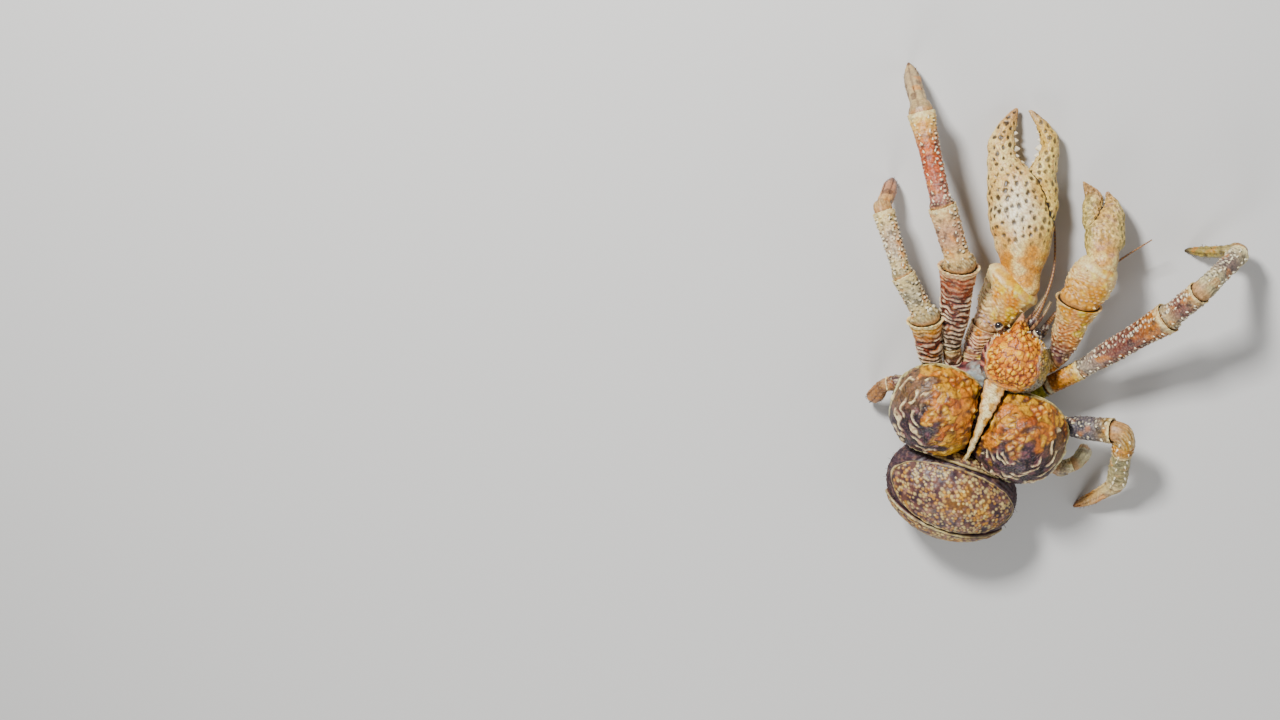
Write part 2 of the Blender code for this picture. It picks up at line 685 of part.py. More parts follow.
def make_strip(thorax, shield):
    """The narrow plate along the back between the two gill covers."""
    rings = []
    for y, half_width, top in STRIP:
        low = Vector((0, y, STRIP_BOTTOM))
        side = Vector((half_width, 0, 0))
        high = Vector((0, y, top))
        shoulder = high - UP * STRIP_CROWN
        rings.append([low - side * STRIP_FOOT, low + side * STRIP_FOOT, shoulder + side,
                      high, shoulder - side])
    strip = node("carapace_strip", loft(rings), (0.75, 0.62, 0.38))
    cut_clear(strip, thorax, shield)
    return strip


def lobe_place(sign, unit):
    """Where a point of a unit sphere lies on a gill cover, squarish from above."""
    x, y, z = LOBE_CENTRE
    across, length, height = LOBE_RADII
    around = math.hypot(unit.x, unit.y)
    fill = 1.0
    if around > 0.001:
        square = abs(unit.x) ** LOBE_SQUARENESS + abs(unit.y) ** LOBE_SQUARENESS
        fill = around / square ** (1 / LOBE_SQUARENESS)
    return Vector((sign * x + unit.x * fill * across, y + unit.y * fill * length,
                   z + unit.z * height))


def make_lobe(hand, sign, thorax, shield, strip):
    """One gill cover: a deep dome, flat along the strip."""
    bm = ellipsoid(Vector(), (1, 1, 1))
    for vert in bm.verts:
        vert.co = lobe_place(sign, vert.co)
    _, y, _ = LOBE_CENTRE
    length = LOBE_RADII[1]
    rise = (LOBE_RIM_FRONT - LOBE_RIM_REAR) / (2 * length)
    cut_by_plane(bm, Vector((0, y - length, LOBE_RIM_REAR)), Vector((0, rise, -1)))
    rear, front = STRIP[0], STRIP[-1]
    taper = (front[1] - rear[1]) / (front[0] - rear[0])
    cut_by_plane(bm, Vector((sign * (rear[1] + GAP), rear[0], 0)), Vector((-sign, taper, 0)))
    lobe = node(f"carapace_lobe_{hand}", bm, (0.55, 0.28, 0.14))
    cut_clear(lobe, thorax, shield, strip)
    fuse(lobe, lobe_ridges(sign))
    return lobe


def make_plate(name, start, end, half_share, roundness):
    """One plate over the abdomen, a shell on the same curve as the bag below."""
    bm = bmesh.new()
    bmesh.ops.create_grid(bm, x_segments=PLATE_COLUMNS, y_segments=PLATE_ROWS, size=1.0)
    middle = (start + end) / 2
    for vert in bm.verts:
        across = vert.co.x * math.sqrt(1.0 - roundness * vert.co.y ** 2 / 2)
        along = vert.co.y * math.sqrt(1.0 - roundness * vert.co.x ** 2 / 2)
        spread = across * half_share
        ring = math.sqrt(1.0 - spread ** 2)
        turn = middle + along * (end - start) / 2 - PLATE_CROWN
        angle = math.radians(PLATE_CROWN + turn / math.sqrt(ring))
        bulge = 1.0 - PLATE_ROOT / BELLY_RADII[2]
        vert.co = BELLY_CENTRE + Vector((
            spread * BELLY_RADII[0] * bulge,
            math.cos(angle) * ring * BELLY_RADII[1] * bulge,
            math.sin(angle) * ring * BELLY_RADII[2] * bulge))
    bm.normal_update()
    bm.faces.ensure_lookup_table()
    if bm.faces[0].normal.dot(bm.faces[0].calc_center_median() - BELLY_CENTRE) < 0:
        bmesh.ops.reverse_faces(bm, faces=bm.faces)
    mesh = bpy.data.meshes.new(name)
    bm.to_mesh(mesh)
    bm.free()
    mesh.materials.append(material(name, (0.42, 0.26, 0.20), 0.5))
    plate = bpy.data.objects.new(name, mesh)
    plate.location = BODY
    MODEL.objects.link(plate)
    thick = plate.modifiers.new("thickness", "SOLIDIFY")
    thick.thickness = PLATE_THICKNESS + PLATE_ROOT
    thick.offset = 1.0
    bpy.context.view_layer.update()
    apply_modifiers(plate)
    keep_largest(plate)
    return plate


def make_abdomen(thorax, strip, lobes):
    """The soft bag, and the plates that lie on it."""
    bm = ellipsoid(BELLY_CENTRE, BELLY_RADII)
    flat_below(bm)
    belly = node("abdomen_bag", bm, (0.33, 0.20, 0.22))
    cut_clear(belly, thorax, strip, *lobes)
    for row in PLATES:
        cut_clear(make_plate(*row), belly, strip, *lobes)


def lobe_point(sign, east, north):
    """A place on a gill cover's dome, by degrees outward and forward of its top."""
    level = math.cos(math.radians(north))
    unit = Vector((sign * math.sin(math.radians(east)) * level,
                   math.sin(math.radians(north)), math.cos(math.radians(east)) * level))
    return lobe_place(sign, unit)


def lobe_ridges(sign):
    """Raised crescents over the rear and outer side of a gill cover."""
    draw = random.Random(11)
    middle = Vector((sign * LOBE_CENTRE[0], *LOBE_CENTRE[1:]))
    pieces = []
    for north, east_low, east_high in LOBE_RIDGES:
        rings = []
        bend = draw.uniform(3.0, 6.0)
        for step in range(RIDGE_STEPS + 1):
            share = step / RIDGE_STEPS
            east = between(east_low, east_high, share)
            lie = north - bend * math.sin(math.pi * share)
            ahead = lobe_point(sign, east + 4, lie) - lobe_point(sign, east - 4, lie)
            centre = lobe_point(sign, east, lie)
            out = (centre - middle).normalized()
            across = ahead.normalized().cross(out).normalized()
            width = RIDGE_WIDTH * (0.25 + 0.75 * math.sin(math.pi * share))
            rings.append(ring_at(centre, across, out, width, RIDGE_DEPTH, 4))
        pieces.append(loft(rings))
    return pieces


def smooth_path(points, count):
    """Points at even steps along a smooth curve through a few given ones."""
    ends = [points[0] * 2 - points[1]] + list(points) + [points[-1] * 2 - points[-2]]
    spans = len(points) - 1
    path = []
    for number in range(count + 1):
        place = min(number / count * spans, spans - 1e-9)
        span = int(place)
        t = place - span
        a, b, c, d = ends[span:span + 4]
        path.append(0.5 * ((2 * b) + (c - a) * t + (2 * a - 5 * b + 4 * c - d) * t ** 2
                           + (3 * b - a - 3 * c + d) * t ** 3))
    return path


def tapered_tube(points, sizes, count, sides):
    """A tube along a smooth curve, its radius eased through a few sizes."""
    path = smooth_path([Vector(point) for point in points], count)
    rings = []
    for number, centre in enumerate(path):
        before = path[max(0, number - 1)]
        after = path[min(count, number + 1)]
        side, lift = frame_along((after - before).normalized())
        place = number / count * (len(sizes) - 1)
        low = min(int(place), len(sizes) - 2)
        radius = between(sizes[low], sizes[low + 1], place - low)
        rings.append(ring_at(centre, side, lift, radius, radius, sides))
    return loft(rings)


def make_feelers(core):
    """Long and short feelers, and the bent mouth legs below them."""
    for name, points, sizes, count, sides, colour in FEELERS:
        feeler = node(name, tapered_tube(points, sizes, count, sides), colour)
        cut_clear(feeler, *core)


def make_eyes(core):
    """Short stalks from under the rostrum, each with a dark eye on its end."""
    made = []
    for hand, root, tip in EYES:
        root = Vector(root)
        tip = Vector(tip)
        axis = (tip - root).normalized()
        side, lift = frame_along(axis)
        stalk_end = tip - axis * (EYE_RADIUS * EYE_SUNK)
        rings = []
        for share, radius in STALK:
            centre = between(root, stalk_end, share)
            rings.append(ring_at(centre, side, lift, radius, radius))
        stalk = node(f"eyestalk_{hand}", loft(rings), (0.55, 0.30, 0.18))
        eye_bm = ellipsoid(tip, (EYE_RADIUS,) * 3, RING, EYE_ROWS)
        cut_by_plane(eye_bm, stalk_end + axis * GAP, -axis)
        eye = node(f"eye_{hand}", eye_bm, (0.02, 0.01, 0.01), 0.15)
        cut_clear(stalk, *core)
        cut_clear(eye, *core)
        made += [stalk, eye]
    return made


def build():
    thorax = make_thorax()
    shield = make_shield(thorax)
    strip = make_strip(thorax, shield)
    lobes = [make_lobe("left", -1, thorax, shield, strip),
             make_lobe("right", 1, thorax, shield, strip)]
    make_abdomen(thorax, strip, lobes)
    for name, limb in LIMBS.items():
        segments = make_limb(name, limb)
        for segment in segments[:HIP_SEGMENTS]:
            cut_clear(segment, thorax)
    eyes = make_eyes((thorax, shield))
    make_feelers((thorax, shield, *eyes))


build()
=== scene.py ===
import math

import bpy
import numpy as np
from mathutils import Matrix, Vector, kdtree


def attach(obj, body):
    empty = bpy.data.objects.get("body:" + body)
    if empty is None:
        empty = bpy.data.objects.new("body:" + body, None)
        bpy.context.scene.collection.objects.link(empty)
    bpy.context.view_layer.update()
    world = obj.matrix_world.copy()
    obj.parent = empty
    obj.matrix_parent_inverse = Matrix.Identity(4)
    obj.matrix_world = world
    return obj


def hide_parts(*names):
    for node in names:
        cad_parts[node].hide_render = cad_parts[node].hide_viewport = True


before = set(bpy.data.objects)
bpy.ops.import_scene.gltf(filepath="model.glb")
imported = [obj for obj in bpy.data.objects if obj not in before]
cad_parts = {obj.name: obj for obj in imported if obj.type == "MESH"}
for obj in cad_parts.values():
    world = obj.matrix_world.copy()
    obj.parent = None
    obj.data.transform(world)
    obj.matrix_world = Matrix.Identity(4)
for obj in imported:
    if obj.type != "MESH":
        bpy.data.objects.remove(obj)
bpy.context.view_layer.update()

# The camera looks down steeply on the back from a little ahead of the animal,
# which is turned 20 degrees in the view and stands right of the middle, as the
# photo frames it. One point of the back falls on one pixel of the picture.
BODY = Vector((-0.0034, -0.0931, 0.0))
BACK = BODY + Vector((0.003, 0.0, 0.09))
BACK_PIXEL = (982, 426)
PICTURE = (1280, 720)
METRES_PER_PIXEL = 0.0011
DISTANCE = 3.0
TURN = math.radians(20)
LEAN = math.radians(18)
SENSOR = 36.0

up_picture = Vector((-math.sin(TURN), math.cos(TURN), 0))
towards_camera = Vector((0, 0, math.cos(LEAN))) + up_picture * math.sin(LEAN)
up_camera = up_picture * math.cos(LEAN) - Vector((0, 0, math.sin(LEAN)))
right_camera = up_camera.cross(towards_camera)
focal_pixels = DISTANCE / METRES_PER_PIXEL
facing = Matrix((right_camera, up_camera, towards_camera)).transposed()
ray = Vector((BACK_PIXEL[0] - PICTURE[0] / 2, PICTURE[1] / 2 - BACK_PIXEL[1], -focal_pixels))
pan = ray.rotation_difference(Vector((0, 0, -1))).to_matrix()
lens = bpy.data.cameras.new("camera")
lens.sensor_width = SENSOR
lens.lens = focal_pixels / PICTURE[0] * SENSOR
camera = bpy.data.objects.new("camera", lens)
camera.matrix_world = (Matrix.Translation(BACK + towards_camera * DISTANCE)
                       @ (facing @ pan).to_4x4())
bpy.context.scene.collection.objects.link(camera)
bpy.context.scene.camera = camera

# A plain pale floor, a broad soft light from the upper left, a weaker one from
# the right and a low one behind, under a light grey sky.
FLOOR_SIZE = 12.0
LIGHTS = (("key_light", (-1.3, 1.2, 1.8), 0.4, 112), ("fill_light", (1.8, 0.4, 1.5), 1.5, 14),
          ("back_light", (0.2, -1.9, 1.2), 1.0, 24))

bpy.ops.object.select_all(action="DESELECT")
bpy.ops.mesh.primitive_plane_add(size=FLOOR_SIZE)
floor = bpy.context.object
floor.name = "floor"
paper = bpy.data.materials.new("pale_floor")
paper.use_nodes = True
paper.node_tree.nodes["Principled BSDF"].inputs["Base Color"].default_value = (0.62, 0.61, 0.59, 1)
paper.node_tree.nodes["Principled BSDF"].inputs["Roughness"].default_value = 0.85
floor.data.materials.append(paper)
for name, place, size, power in LIGHTS:
    lamp = bpy.data.lights.new(name, "AREA")
    lamp.size = size
    lamp.energy = power
    light = bpy.data.objects.new(name, lamp)
    light.location = place
    light.rotation_euler = (Vector(BODY) - Vector(place)).to_track_quat("-Z", "Y").to_euler()
    bpy.context.scene.collection.objects.link(light)
sky = bpy.data.worlds.new("sky")
sky.use_nodes = True
sky.node_tree.nodes["Background"].inputs["Color"].default_value = (0.86, 0.90, 0.95, 1)
sky.node_tree.nodes["Background"].inputs["Strength"].default_value = 0.19
bpy.context.scene.world = sky

# The underside and flanks: breast plates and leathery side walls in one, seen as
# pale blue-grey skin at the shield's rear corners. A ball is drawn out along the
# body to the core's stations, then its surface is pushed in and out like clay.
THORAX = ((-0.046, 0.026, 0.034, 0.050), (-0.030, 0.042, 0.027, 0.060),
          (0.010, 0.050, 0.024, 0.070), (0.042, 0.045, 0.025, 0.074),
          (0.056, 0.030, 0.030, 0.074), (0.068, 0.012, 0.042, 0.073),
          (0.098, 0.010, 0.048, 0.072))
BREAST_PLATE_LENGTH = 0.017
SOFT_CORNERS = ((-0.018, 0.050, 0.070), (0.046, 0.050, 0.066))
UP = Vector((0, 0, 1))
VIVID = 1.26
DEPTH = 0.36
AMBER = (1.0, 0.99, 0.92)
BRIGHTNESS = (0.21, 0.72, 0.07)


def tone(code):
    """A colour from its six-figure name. One that is mixed already stays as it is."""
    if not isinstance(code, str):
        return code
    value = np.array([int(code[place:place + 2], 16) for place in (0, 2, 4)]) / 255
    return np.where(value < 0.04045, value / 12.92, ((value + 0.055) / 1.055) ** 2.4)


def mixed(under, *coats):
    """Paint laid over paint: each coat is a colour and its cover, from 0 to 1, at each point."""
    colour = tone(under)
    for over, cover in coats:
        cover = np.clip(np.asarray(cover, float), 0, 1).reshape(-1, 1)
        colour = colour * (1 - cover) + tone(over) * cover
    return colour


def ramp(value, low, high):
    """0 below one value and 1 above another, eased between."""
    share = np.clip((value - low) / (high - low), 0, 1)
    return share * share * (3 - 2 * share)


def waves(points, size, seed):
    """A smooth uneven field between about -1 and 1, its lumps of one size."""
    draw = np.random.default_rng(seed)
    field = np.zeros(len(points))
    for _ in range(7):
        way = draw.normal(size=3)
        way *= math.tau / size * draw.uniform(0.6, 1.3) / np.linalg.norm(way)
        field += np.sin(points @ way + draw.uniform(0, math.tau))
    return field / 2.6


def scattered(points, spacing, seed):
    """Places on a surface, unevenly spread but no two closer than the spacing."""
    draw = np.random.default_rng(seed)
    chosen = points[draw.permutation(len(points))[:9000]]
    kept = np.empty((0, 3))
    for point in chosen:
        if not len(kept) or ((kept - point) ** 2).sum(1).min() > spacing ** 2:
            kept = np.vstack((kept, point))
    return kept


def thinned(seeds, keep, seed):
    """The seeds with some left out at random, so that what grows on them varies in size."""
    return seeds[np.random.default_rng(seed).uniform(size=len(seeds)) < keep]


def cells(points, seeds):
    """How far each point is from the nearest and the next seed, and which is nearest."""
    tree = kdtree.KDTree(len(seeds))
    for number, seed in enumerate(seeds):
        tree.insert(seed, number)
    tree.balance()
    found = [tree.find_n(point, 2) for point in points]
    first = np.array([pair[0][2] for pair in found])
    second = np.array([pair[1][2] for pair in found])
    return first, second, np.array([pair[0][1] for pair in found])


def points_of(piece):
    flat = np.empty(len(piece.data.vertices) * 3)
    piece.data.vertices.foreach_get("co", flat)
    return flat.reshape(-1, 3)


def normals_of(piece):
    flat = np.empty(len(piece.data.vertices) * 3)
    piece.data.vertex_normals.foreach_get("vector", flat)
    return flat.reshape(-1, 3)


def move_points(piece, points):
    piece.data.vertices.foreach_set("co", np.asarray(points, float).ravel())
    piece.data.update()


def push(piece, height):
    """Raises each point of a skin along its own normal."""
    move_points(piece, points_of(piece) + normals_of(piece) * height[:, None])


def paint(piece, colour):
    """Stores a colour for each point, made more vivid and deeper, which the finish reads."""
    count = len(piece.data.vertices)
    tint = piece.data.color_attributes.new("tint", "FLOAT_COLOR", "POINT")
    colour = np.clip(np.broadcast_to(tone(colour), (count, 3)), 0, 1)
    grey = (colour @ BRIGHTNESS)[:, None]
    rows = np.ones((count, 4))
    rows[:, :3] = np.clip(grey + (colour - grey) * VIVID, 0, 1) * grey ** DEPTH * AMBER
    tint.data.foreach_set("color", rows.ravel())


def face_outward(piece):
    bpy.ops.object.select_all(action="DESELECT")
    piece.select_set(True)
    bpy.context.view_layer.objects.active = piece
    bpy.ops.object.mode_set(mode="EDIT")
    bpy.ops.mesh.select_all(action="SELECT")
    bpy.ops.mesh.normals_make_consistent(inside=False)
    bpy.ops.object.mode_set(mode="OBJECT")
    bpy.ops.object.shade_smooth()


def turned_ball(name, around, rows, shape):
    """A ball of even rows, moved to where shape(share from pole to pole, angle) says."""
    bpy.ops.object.select_all(action="DESELECT")
    bpy.ops.mesh.primitive_uv_sphere_add(segments=around, ring_count=rows, radius=1.0)
    piece = bpy.context.object
    piece.name = name
    ball = points_of(piece)
    share = np.arccos(np.clip(ball[:, 2], -1, 1)) / math.pi
    angle = np.arctan2(ball[:, 1], ball[:, 0])
    move_points(piece, shape(share, angle))
    face_outward(piece)
    return piece, share, angle


def through(knots, share):
    """A smooth curve through rows of numbers, read at shares of the way along."""
    knots = np.asarray(knots, float)
    ends = np.vstack((2 * knots[0] - knots[1], knots, 2 * knots[-1] - knots[-2]))
    place = np.clip(share, 0, 1 - 1e-9) * (len(knots) - 1)
    span = place.astype(int)
    t = (place - span)[:, None]
    a, b, c, d = (ends[span + step] for step in range(4))
    return 0.5 * (2 * b + (c - a) * t + (2 * a - 5 * b + 4 * c - d) * t ** 2
                  + (3 * b - a - 3 * c + d) * t ** 3)


def drawn_out(knots, blunt=0.03):
    """The shape of a ball drawn out along stations of centre, side, lift and half sizes."""
    def shape(share, angle):
        inner = np.clip((share - blunt) / (1 - 2 * blunt), 0, 1)
        row = through(knots, inner)
        end = np.clip(np.minimum(share, 1 - share) / blunt, 0, 1)
        round_off = np.sqrt(1 - (1 - end) ** 2)
        half = np.maximum(row[:, 9:11], 0.0002) * round_off[:, None]
        ahead = (through(knots, np.clip(inner + 0.01, 0, 1)) - through(knots, inner - 0.01))[:, :3]
        ahead /= np.linalg.norm(ahead, axis=1)[:, None] + 1e-12
        bulge = (1 - end) * row[:, 9:11].min(1) * 0.6 * np.where(share < 0.5, -1, 1)
        return (row[:, :3] + ahead * bulge[:, None]
                + row[:, 3:6] * (half[:, 0] * np.cos(angle))[:, None]
                + row[:, 6:9] * (half[:, 1] * np.sin(angle))[:, None])
    return shape


def feed(tree, node, values):
    """Sets a shader node's inputs, each to a value or to another node's output."""
    for socket, value in values.items():
        if isinstance(value, bpy.types.NodeSocket):
            tree.links.new(value, node.inputs[socket])
        else:
            node.inputs[socket].default_value = value


def added(tree, kind, values, **traits):
    """A new shader node with its traits set and its inputs fed."""
    node = tree.nodes.new("ShaderNode" + kind)
    for trait, value in traits.items():
        setattr(node, trait, value)
    feed(tree, node, values)
    return node


def shell_finish(name, grain=900.0, mottle=0.30, relief=0.30, rough=(0.30, 0.55), coat=0.12):
    """Hard shell: the painted colour, mottled and pored, over a fine uneven relief."""
    finish = bpy.data.materials.new(name)
    finish.use_nodes = True
    tree = finish.node_tree
    where = added(tree, "TexCoord", {}).outputs["Object"]
    tint = added(tree, "Attribute", {}, attribute_name="tint").outputs["Color"]
    cloud = added(tree, "TexNoise", {"Vector": where, "Scale": grain * 0.28, "Detail": 6.0,
                                     "Roughness": 0.65}).outputs["Fac"]
    pores = added(tree, "TexVoronoi", {"Vector": where, "Scale": grain * 0.55})
    fine = added(tree, "TexNoise", {"Vector": where, "Scale": grain, "Detail": 4.0})
    contrast = added(tree, "MapRange", {"From Min": 0.36, "From Max": 0.64, "Value": cloud})
    stain = added(tree, "Mix", {"Factor": mottle, "A": tint, "B": contrast.outputs["Result"]},
                  data_type="RGBA", blend_type="OVERLAY")
    pit = added(tree, "MapRange", {"From Min": 0.10, "From Max": 0.26, "To Min": 0.62,
                                   "To Max": 1.0, "Value": pores.outputs["Distance"]})
    pit = pit.outputs["Result"]
    pitted = added(tree, "Mix", {"Factor": 0.7, "A": stain.outputs["Result"], "B": pit},
                   data_type="RGBA", blend_type="MULTIPLY")
    gloss = added(tree, "MapRange", {"To Min": rough[0], "To Max": rough[1], "Value": cloud})
    heights = added(tree, "Math", {0: fine.outputs["Fac"], 1: pit}, operation="ADD")
    bump = added(tree, "Bump", {"Strength": relief, "Distance": 0.0006,
                                "Height": heights.outputs["Value"]})
    feed(tree, tree.nodes["Principled BSDF"], {
        "Base Color": pitted.outputs["Result"], "Roughness": gloss.outputs["Result"],
        "Coat Weight": coat, "Coat Roughness": 0.25, "Normal": bump.outputs["Normal"]})
    return finish


def fit(piece, finish, slot, *solids):
    """Gives a finished piece its material, its body and the solids that it stands for."""
    points = points_of(piece)
    points[:, 2] = np.maximum(points[:, 2], 0.0)
    move_points(piece, points)
    piece.data.materials.clear()
    piece.data.materials.append(finish)
    for face in piece.data.polygons:
        face.material_index = 0
    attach(piece, "root")
    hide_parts(*solids)


origin = np.array(BODY)
core_rows = [(*(BODY + Vector((0, y, (low + high) / 2))), 1, 0, 0, 0, 0, 1, wide, (high - low) / 2)
             for y, wide, low, high in THORAX]
thorax, share, angle = turned_ball("thorax_skin", 96, 120, drawn_out(core_rows))
points = points_of(thorax)
below = ramp(-np.sin(angle), 0.1, 0.6)
plates = np.abs(((points[:, 1] / BREAST_PLATE_LENGTH) % 1) - 0.5) * 2
furrow = (ramp(plates, 0.82, 1.0) * below
          + ramp(-np.abs(points[:, 0] - origin[0]), -0.0018, 0) * below)
wrinkle = waves(points * (1, 0.5, 1), 0.006, 3)
push(thorax, wrinkle * 0.0005 * (1 - below) - furrow * 0.0014 + waves(points, 0.004, 4) * 0.0002)
streak = np.sin((points[:, 0] * 0.6 - points[:, 1]) * 900 + 2 * waves(points, 0.02, 7))
skin = mixed(
    "b06a62", ("7a3a40", 0.5 + 0.6 * streak),
    ("3a2028", ramp(waves(points, 0.012, 6), 0.1, 1.0) * 0.7))
for corner in SOFT_CORNERS:
    away = np.linalg.norm(points - origin - corner, axis=1) + 0.003 * waves(points, 0.008, 5)
    patch = mixed("aabcbe", ("98928a", 0.5 + 0.6 * waves(points, 0.005, 2)))
    skin = mixed(skin, (patch, ramp(-away, -0.018, -0.012) * 0.85))
skin = mixed(skin, ("c9a878", below * 0.8), ("5b3340", furrow))
paint(thorax, skin)
underside = shell_finish("leathery_side", grain=800, relief=0.35, rough=(0.45, 0.70), coat=0.0)
fit(thorax, underside, "underside_shell", "thorax")

# The abdomen: a soft leathery bag of dark purple-brown skin, wrinkled across
# between its plates and set with short stiff hairs along the sides. It is a cube
# subdivided and rounded to a ball, so that its points are evenly spread.
BELLY_CENTRE = np.array(BODY) + (0.000, -0.091, 0.051)
BELLY_RADII = np.array((0.074, 0.055, 0.052))
HAIRS = 260


def even_ball(name, cuts):
    """A cube cut into even squares and rounded to a ball of radius 1."""
    bpy.ops.object.select_all(action="DESELECT")
    bpy.ops.mesh.primitive_cube_add(size=2.0)
    piece = bpy.context.object
    piece.name = name
    bpy.ops.object.mode_set(mode="EDIT")
    bpy.ops.mesh.select_all(action="SELECT")
    bpy.ops.mesh.subdivide(number_cuts=cuts)
    bpy.ops.object.mode_set(mode="OBJECT")
    cube = np.tan(points_of(piece) * (math.pi / 4))
    ball = cube / np.linalg.norm(cube, axis=1)[:, None]
    move_points(piece, ball)
    return piece, ball


def thorn(name, radius, length, bend=0.25, sides=6, rows=5):
    """One spine or hair on its own: a drawn-out ball, pointed and bent forward."""
    knots = []
    for step in range(rows):
        along = step / (rows - 1)
        knots.append((bend * length * along ** 2, 0, length * (along * 1.15 - 0.15),
                      1, 0, 0, 0, 1, 0, *[radius * (1 - along) ** 0.8 + radius * 0.05] * 2))
    piece, _, _ = turned_ball(name, sides, rows + 2, drawn_out(knots, 0.08))
    return piece


def plant(host, model, places, ways, sizes, colour, lean=(0, 1, 0)):
    """Copies a thorn to places on a host, in one size or several, and joins them to it."""
    copies = []
    shape = points_of(model)
    for place, way, size in zip(places, ways, np.broadcast_to(sizes, len(places))):
        up = Vector(way).normalized()
        forward = Vector(lean)
        forward = forward - up * forward.dot(up)
        if forward.length < 1e-6:
            forward = up.orthogonal()
        forward.normalize()
        turn = np.array((forward, up.cross(forward), up)).T
        copy = bpy.data.objects.new("copy", model.data.copy())
        bpy.context.scene.collection.objects.link(copy)
        move_points(copy, (shape * size) @ turn.T + np.array(place))
        paint(copy, colour)
        copies.append(copy)
    bpy.data.objects.remove(model, do_unlink=True)
    if copies:
        bpy.ops.object.select_all(action="DESELECT")
        for copy in copies:
            copy.select_set(True)
        host.select_set(True)
        bpy.context.view_layer.objects.active = host
        bpy.ops.object.join()


belly, ball = even_ball("abdomen_skin", 64)
folds = np.sin(np.arctan2(ball[:, 2], ball[:, 1]) * 34 + 1.5 * waves(ball, 0.5, 8))
side = ramp(np.abs(ball[:, 0]), 0.45, 0.85)
points = BELLY_CENTRE + ball * BELLY_RADII
points[:, 2] = np.maximum(points[:, 2], 0.0)
move_points(belly, points)
face_outward(belly)
push(belly, folds * 0.0007 * (0.35 + side) + waves(points, 0.006, 9) * 0.0005 - 0.0006)
points = points_of(belly)
skin = mixed(
    "6e4c58", ("4a3442", 0.5 + 0.5 * folds),
    ("9c7a6c", ramp(waves(points, 0.007, 10), 0.2, 1.1) * 0.7),
    ("8c7a6c", ramp(-points[:, 2], -0.022, 0.0) * 0.6))
paint(belly, skin)
draw = np.random.default_rng(12)
open_skin = np.nonzero((points[:, 2] > 0.008) & (np.abs(ball[:, 0]) > 0.35))[0]
hairs = draw.choice(open_skin, HAIRS, replace=False)
plant(belly, thorn("hair", 0.00022, 0.0042, 0.4, 4, 4), points[hairs], normals_of(belly)[hairs],
      draw.uniform(0.6, 1.2, len(hairs)), "5a4436", (0, -1, -0.4))
soft_skin = shell_finish("abdomen_leather", grain=700, mottle=0.35, relief=0.5, rough=(0.38, 0.62),
                         coat=0.05)
fit(belly, soft_skin, "abdomen_skin", "abdomen_bag")

# The abdomen's plates: four thin domed shells and a tail plate in a row over the
# back, brown-purple with beige and orange grains and a pale turned edge. The
# second is by far the largest. Each is a flat slab bent over the bag's curve.
PLATE_GRAIN = 0.0029
PLATE_CROWN = 100.0
PLATE_SUNK = 0.0010
PLATE_THICKNESS = 0.0032
# Each row: solid, first and last degree round the bag, half width as a share of the
# bag's, how round its corners are, and its squares across and along.
PLATES = (("tergite_1", 28.0, 46.0, 0.60, 0.4, 90, 22),
          ("tergite_2", 49.0, 128.0, 0.93, 0.95, 150, 96),
          ("tergite_3", 131.0, 157.0, 0.90, 0.5, 130, 34),
          ("tergite_4", 160.0, 184.0, 0.78, 0.5, 110, 32),
          ("tail_fan", 187.0, 214.0, 0.44, 0.8, 66, 34))
plate_shell = shell_finish("plate_shell", grain=900, mottle=0.40, relief=0.40, rough=(0.36, 0.58),
                           coat=0.06)


def slab(name, columns, rows):
    """A sheet of even squares from -1 to 1, drawn up to a closed slab one high."""
    bpy.ops.object.select_all(action="DESELECT")
    bpy.ops.mesh.primitive_grid_add(x_subdivisions=columns, y_subdivisions=rows, size=2.0)
    piece = bpy.context.object
    piece.name = name
    bpy.ops.object.mode_set(mode="EDIT")
    bpy.ops.mesh.select_all(action="SELECT")
    bpy.ops.mesh.extrude_region_move(TRANSFORM_OT_translate={"value": (0, 0, 1)})
    bpy.ops.object.mode_set(mode="OBJECT")
    return piece, points_of(piece)


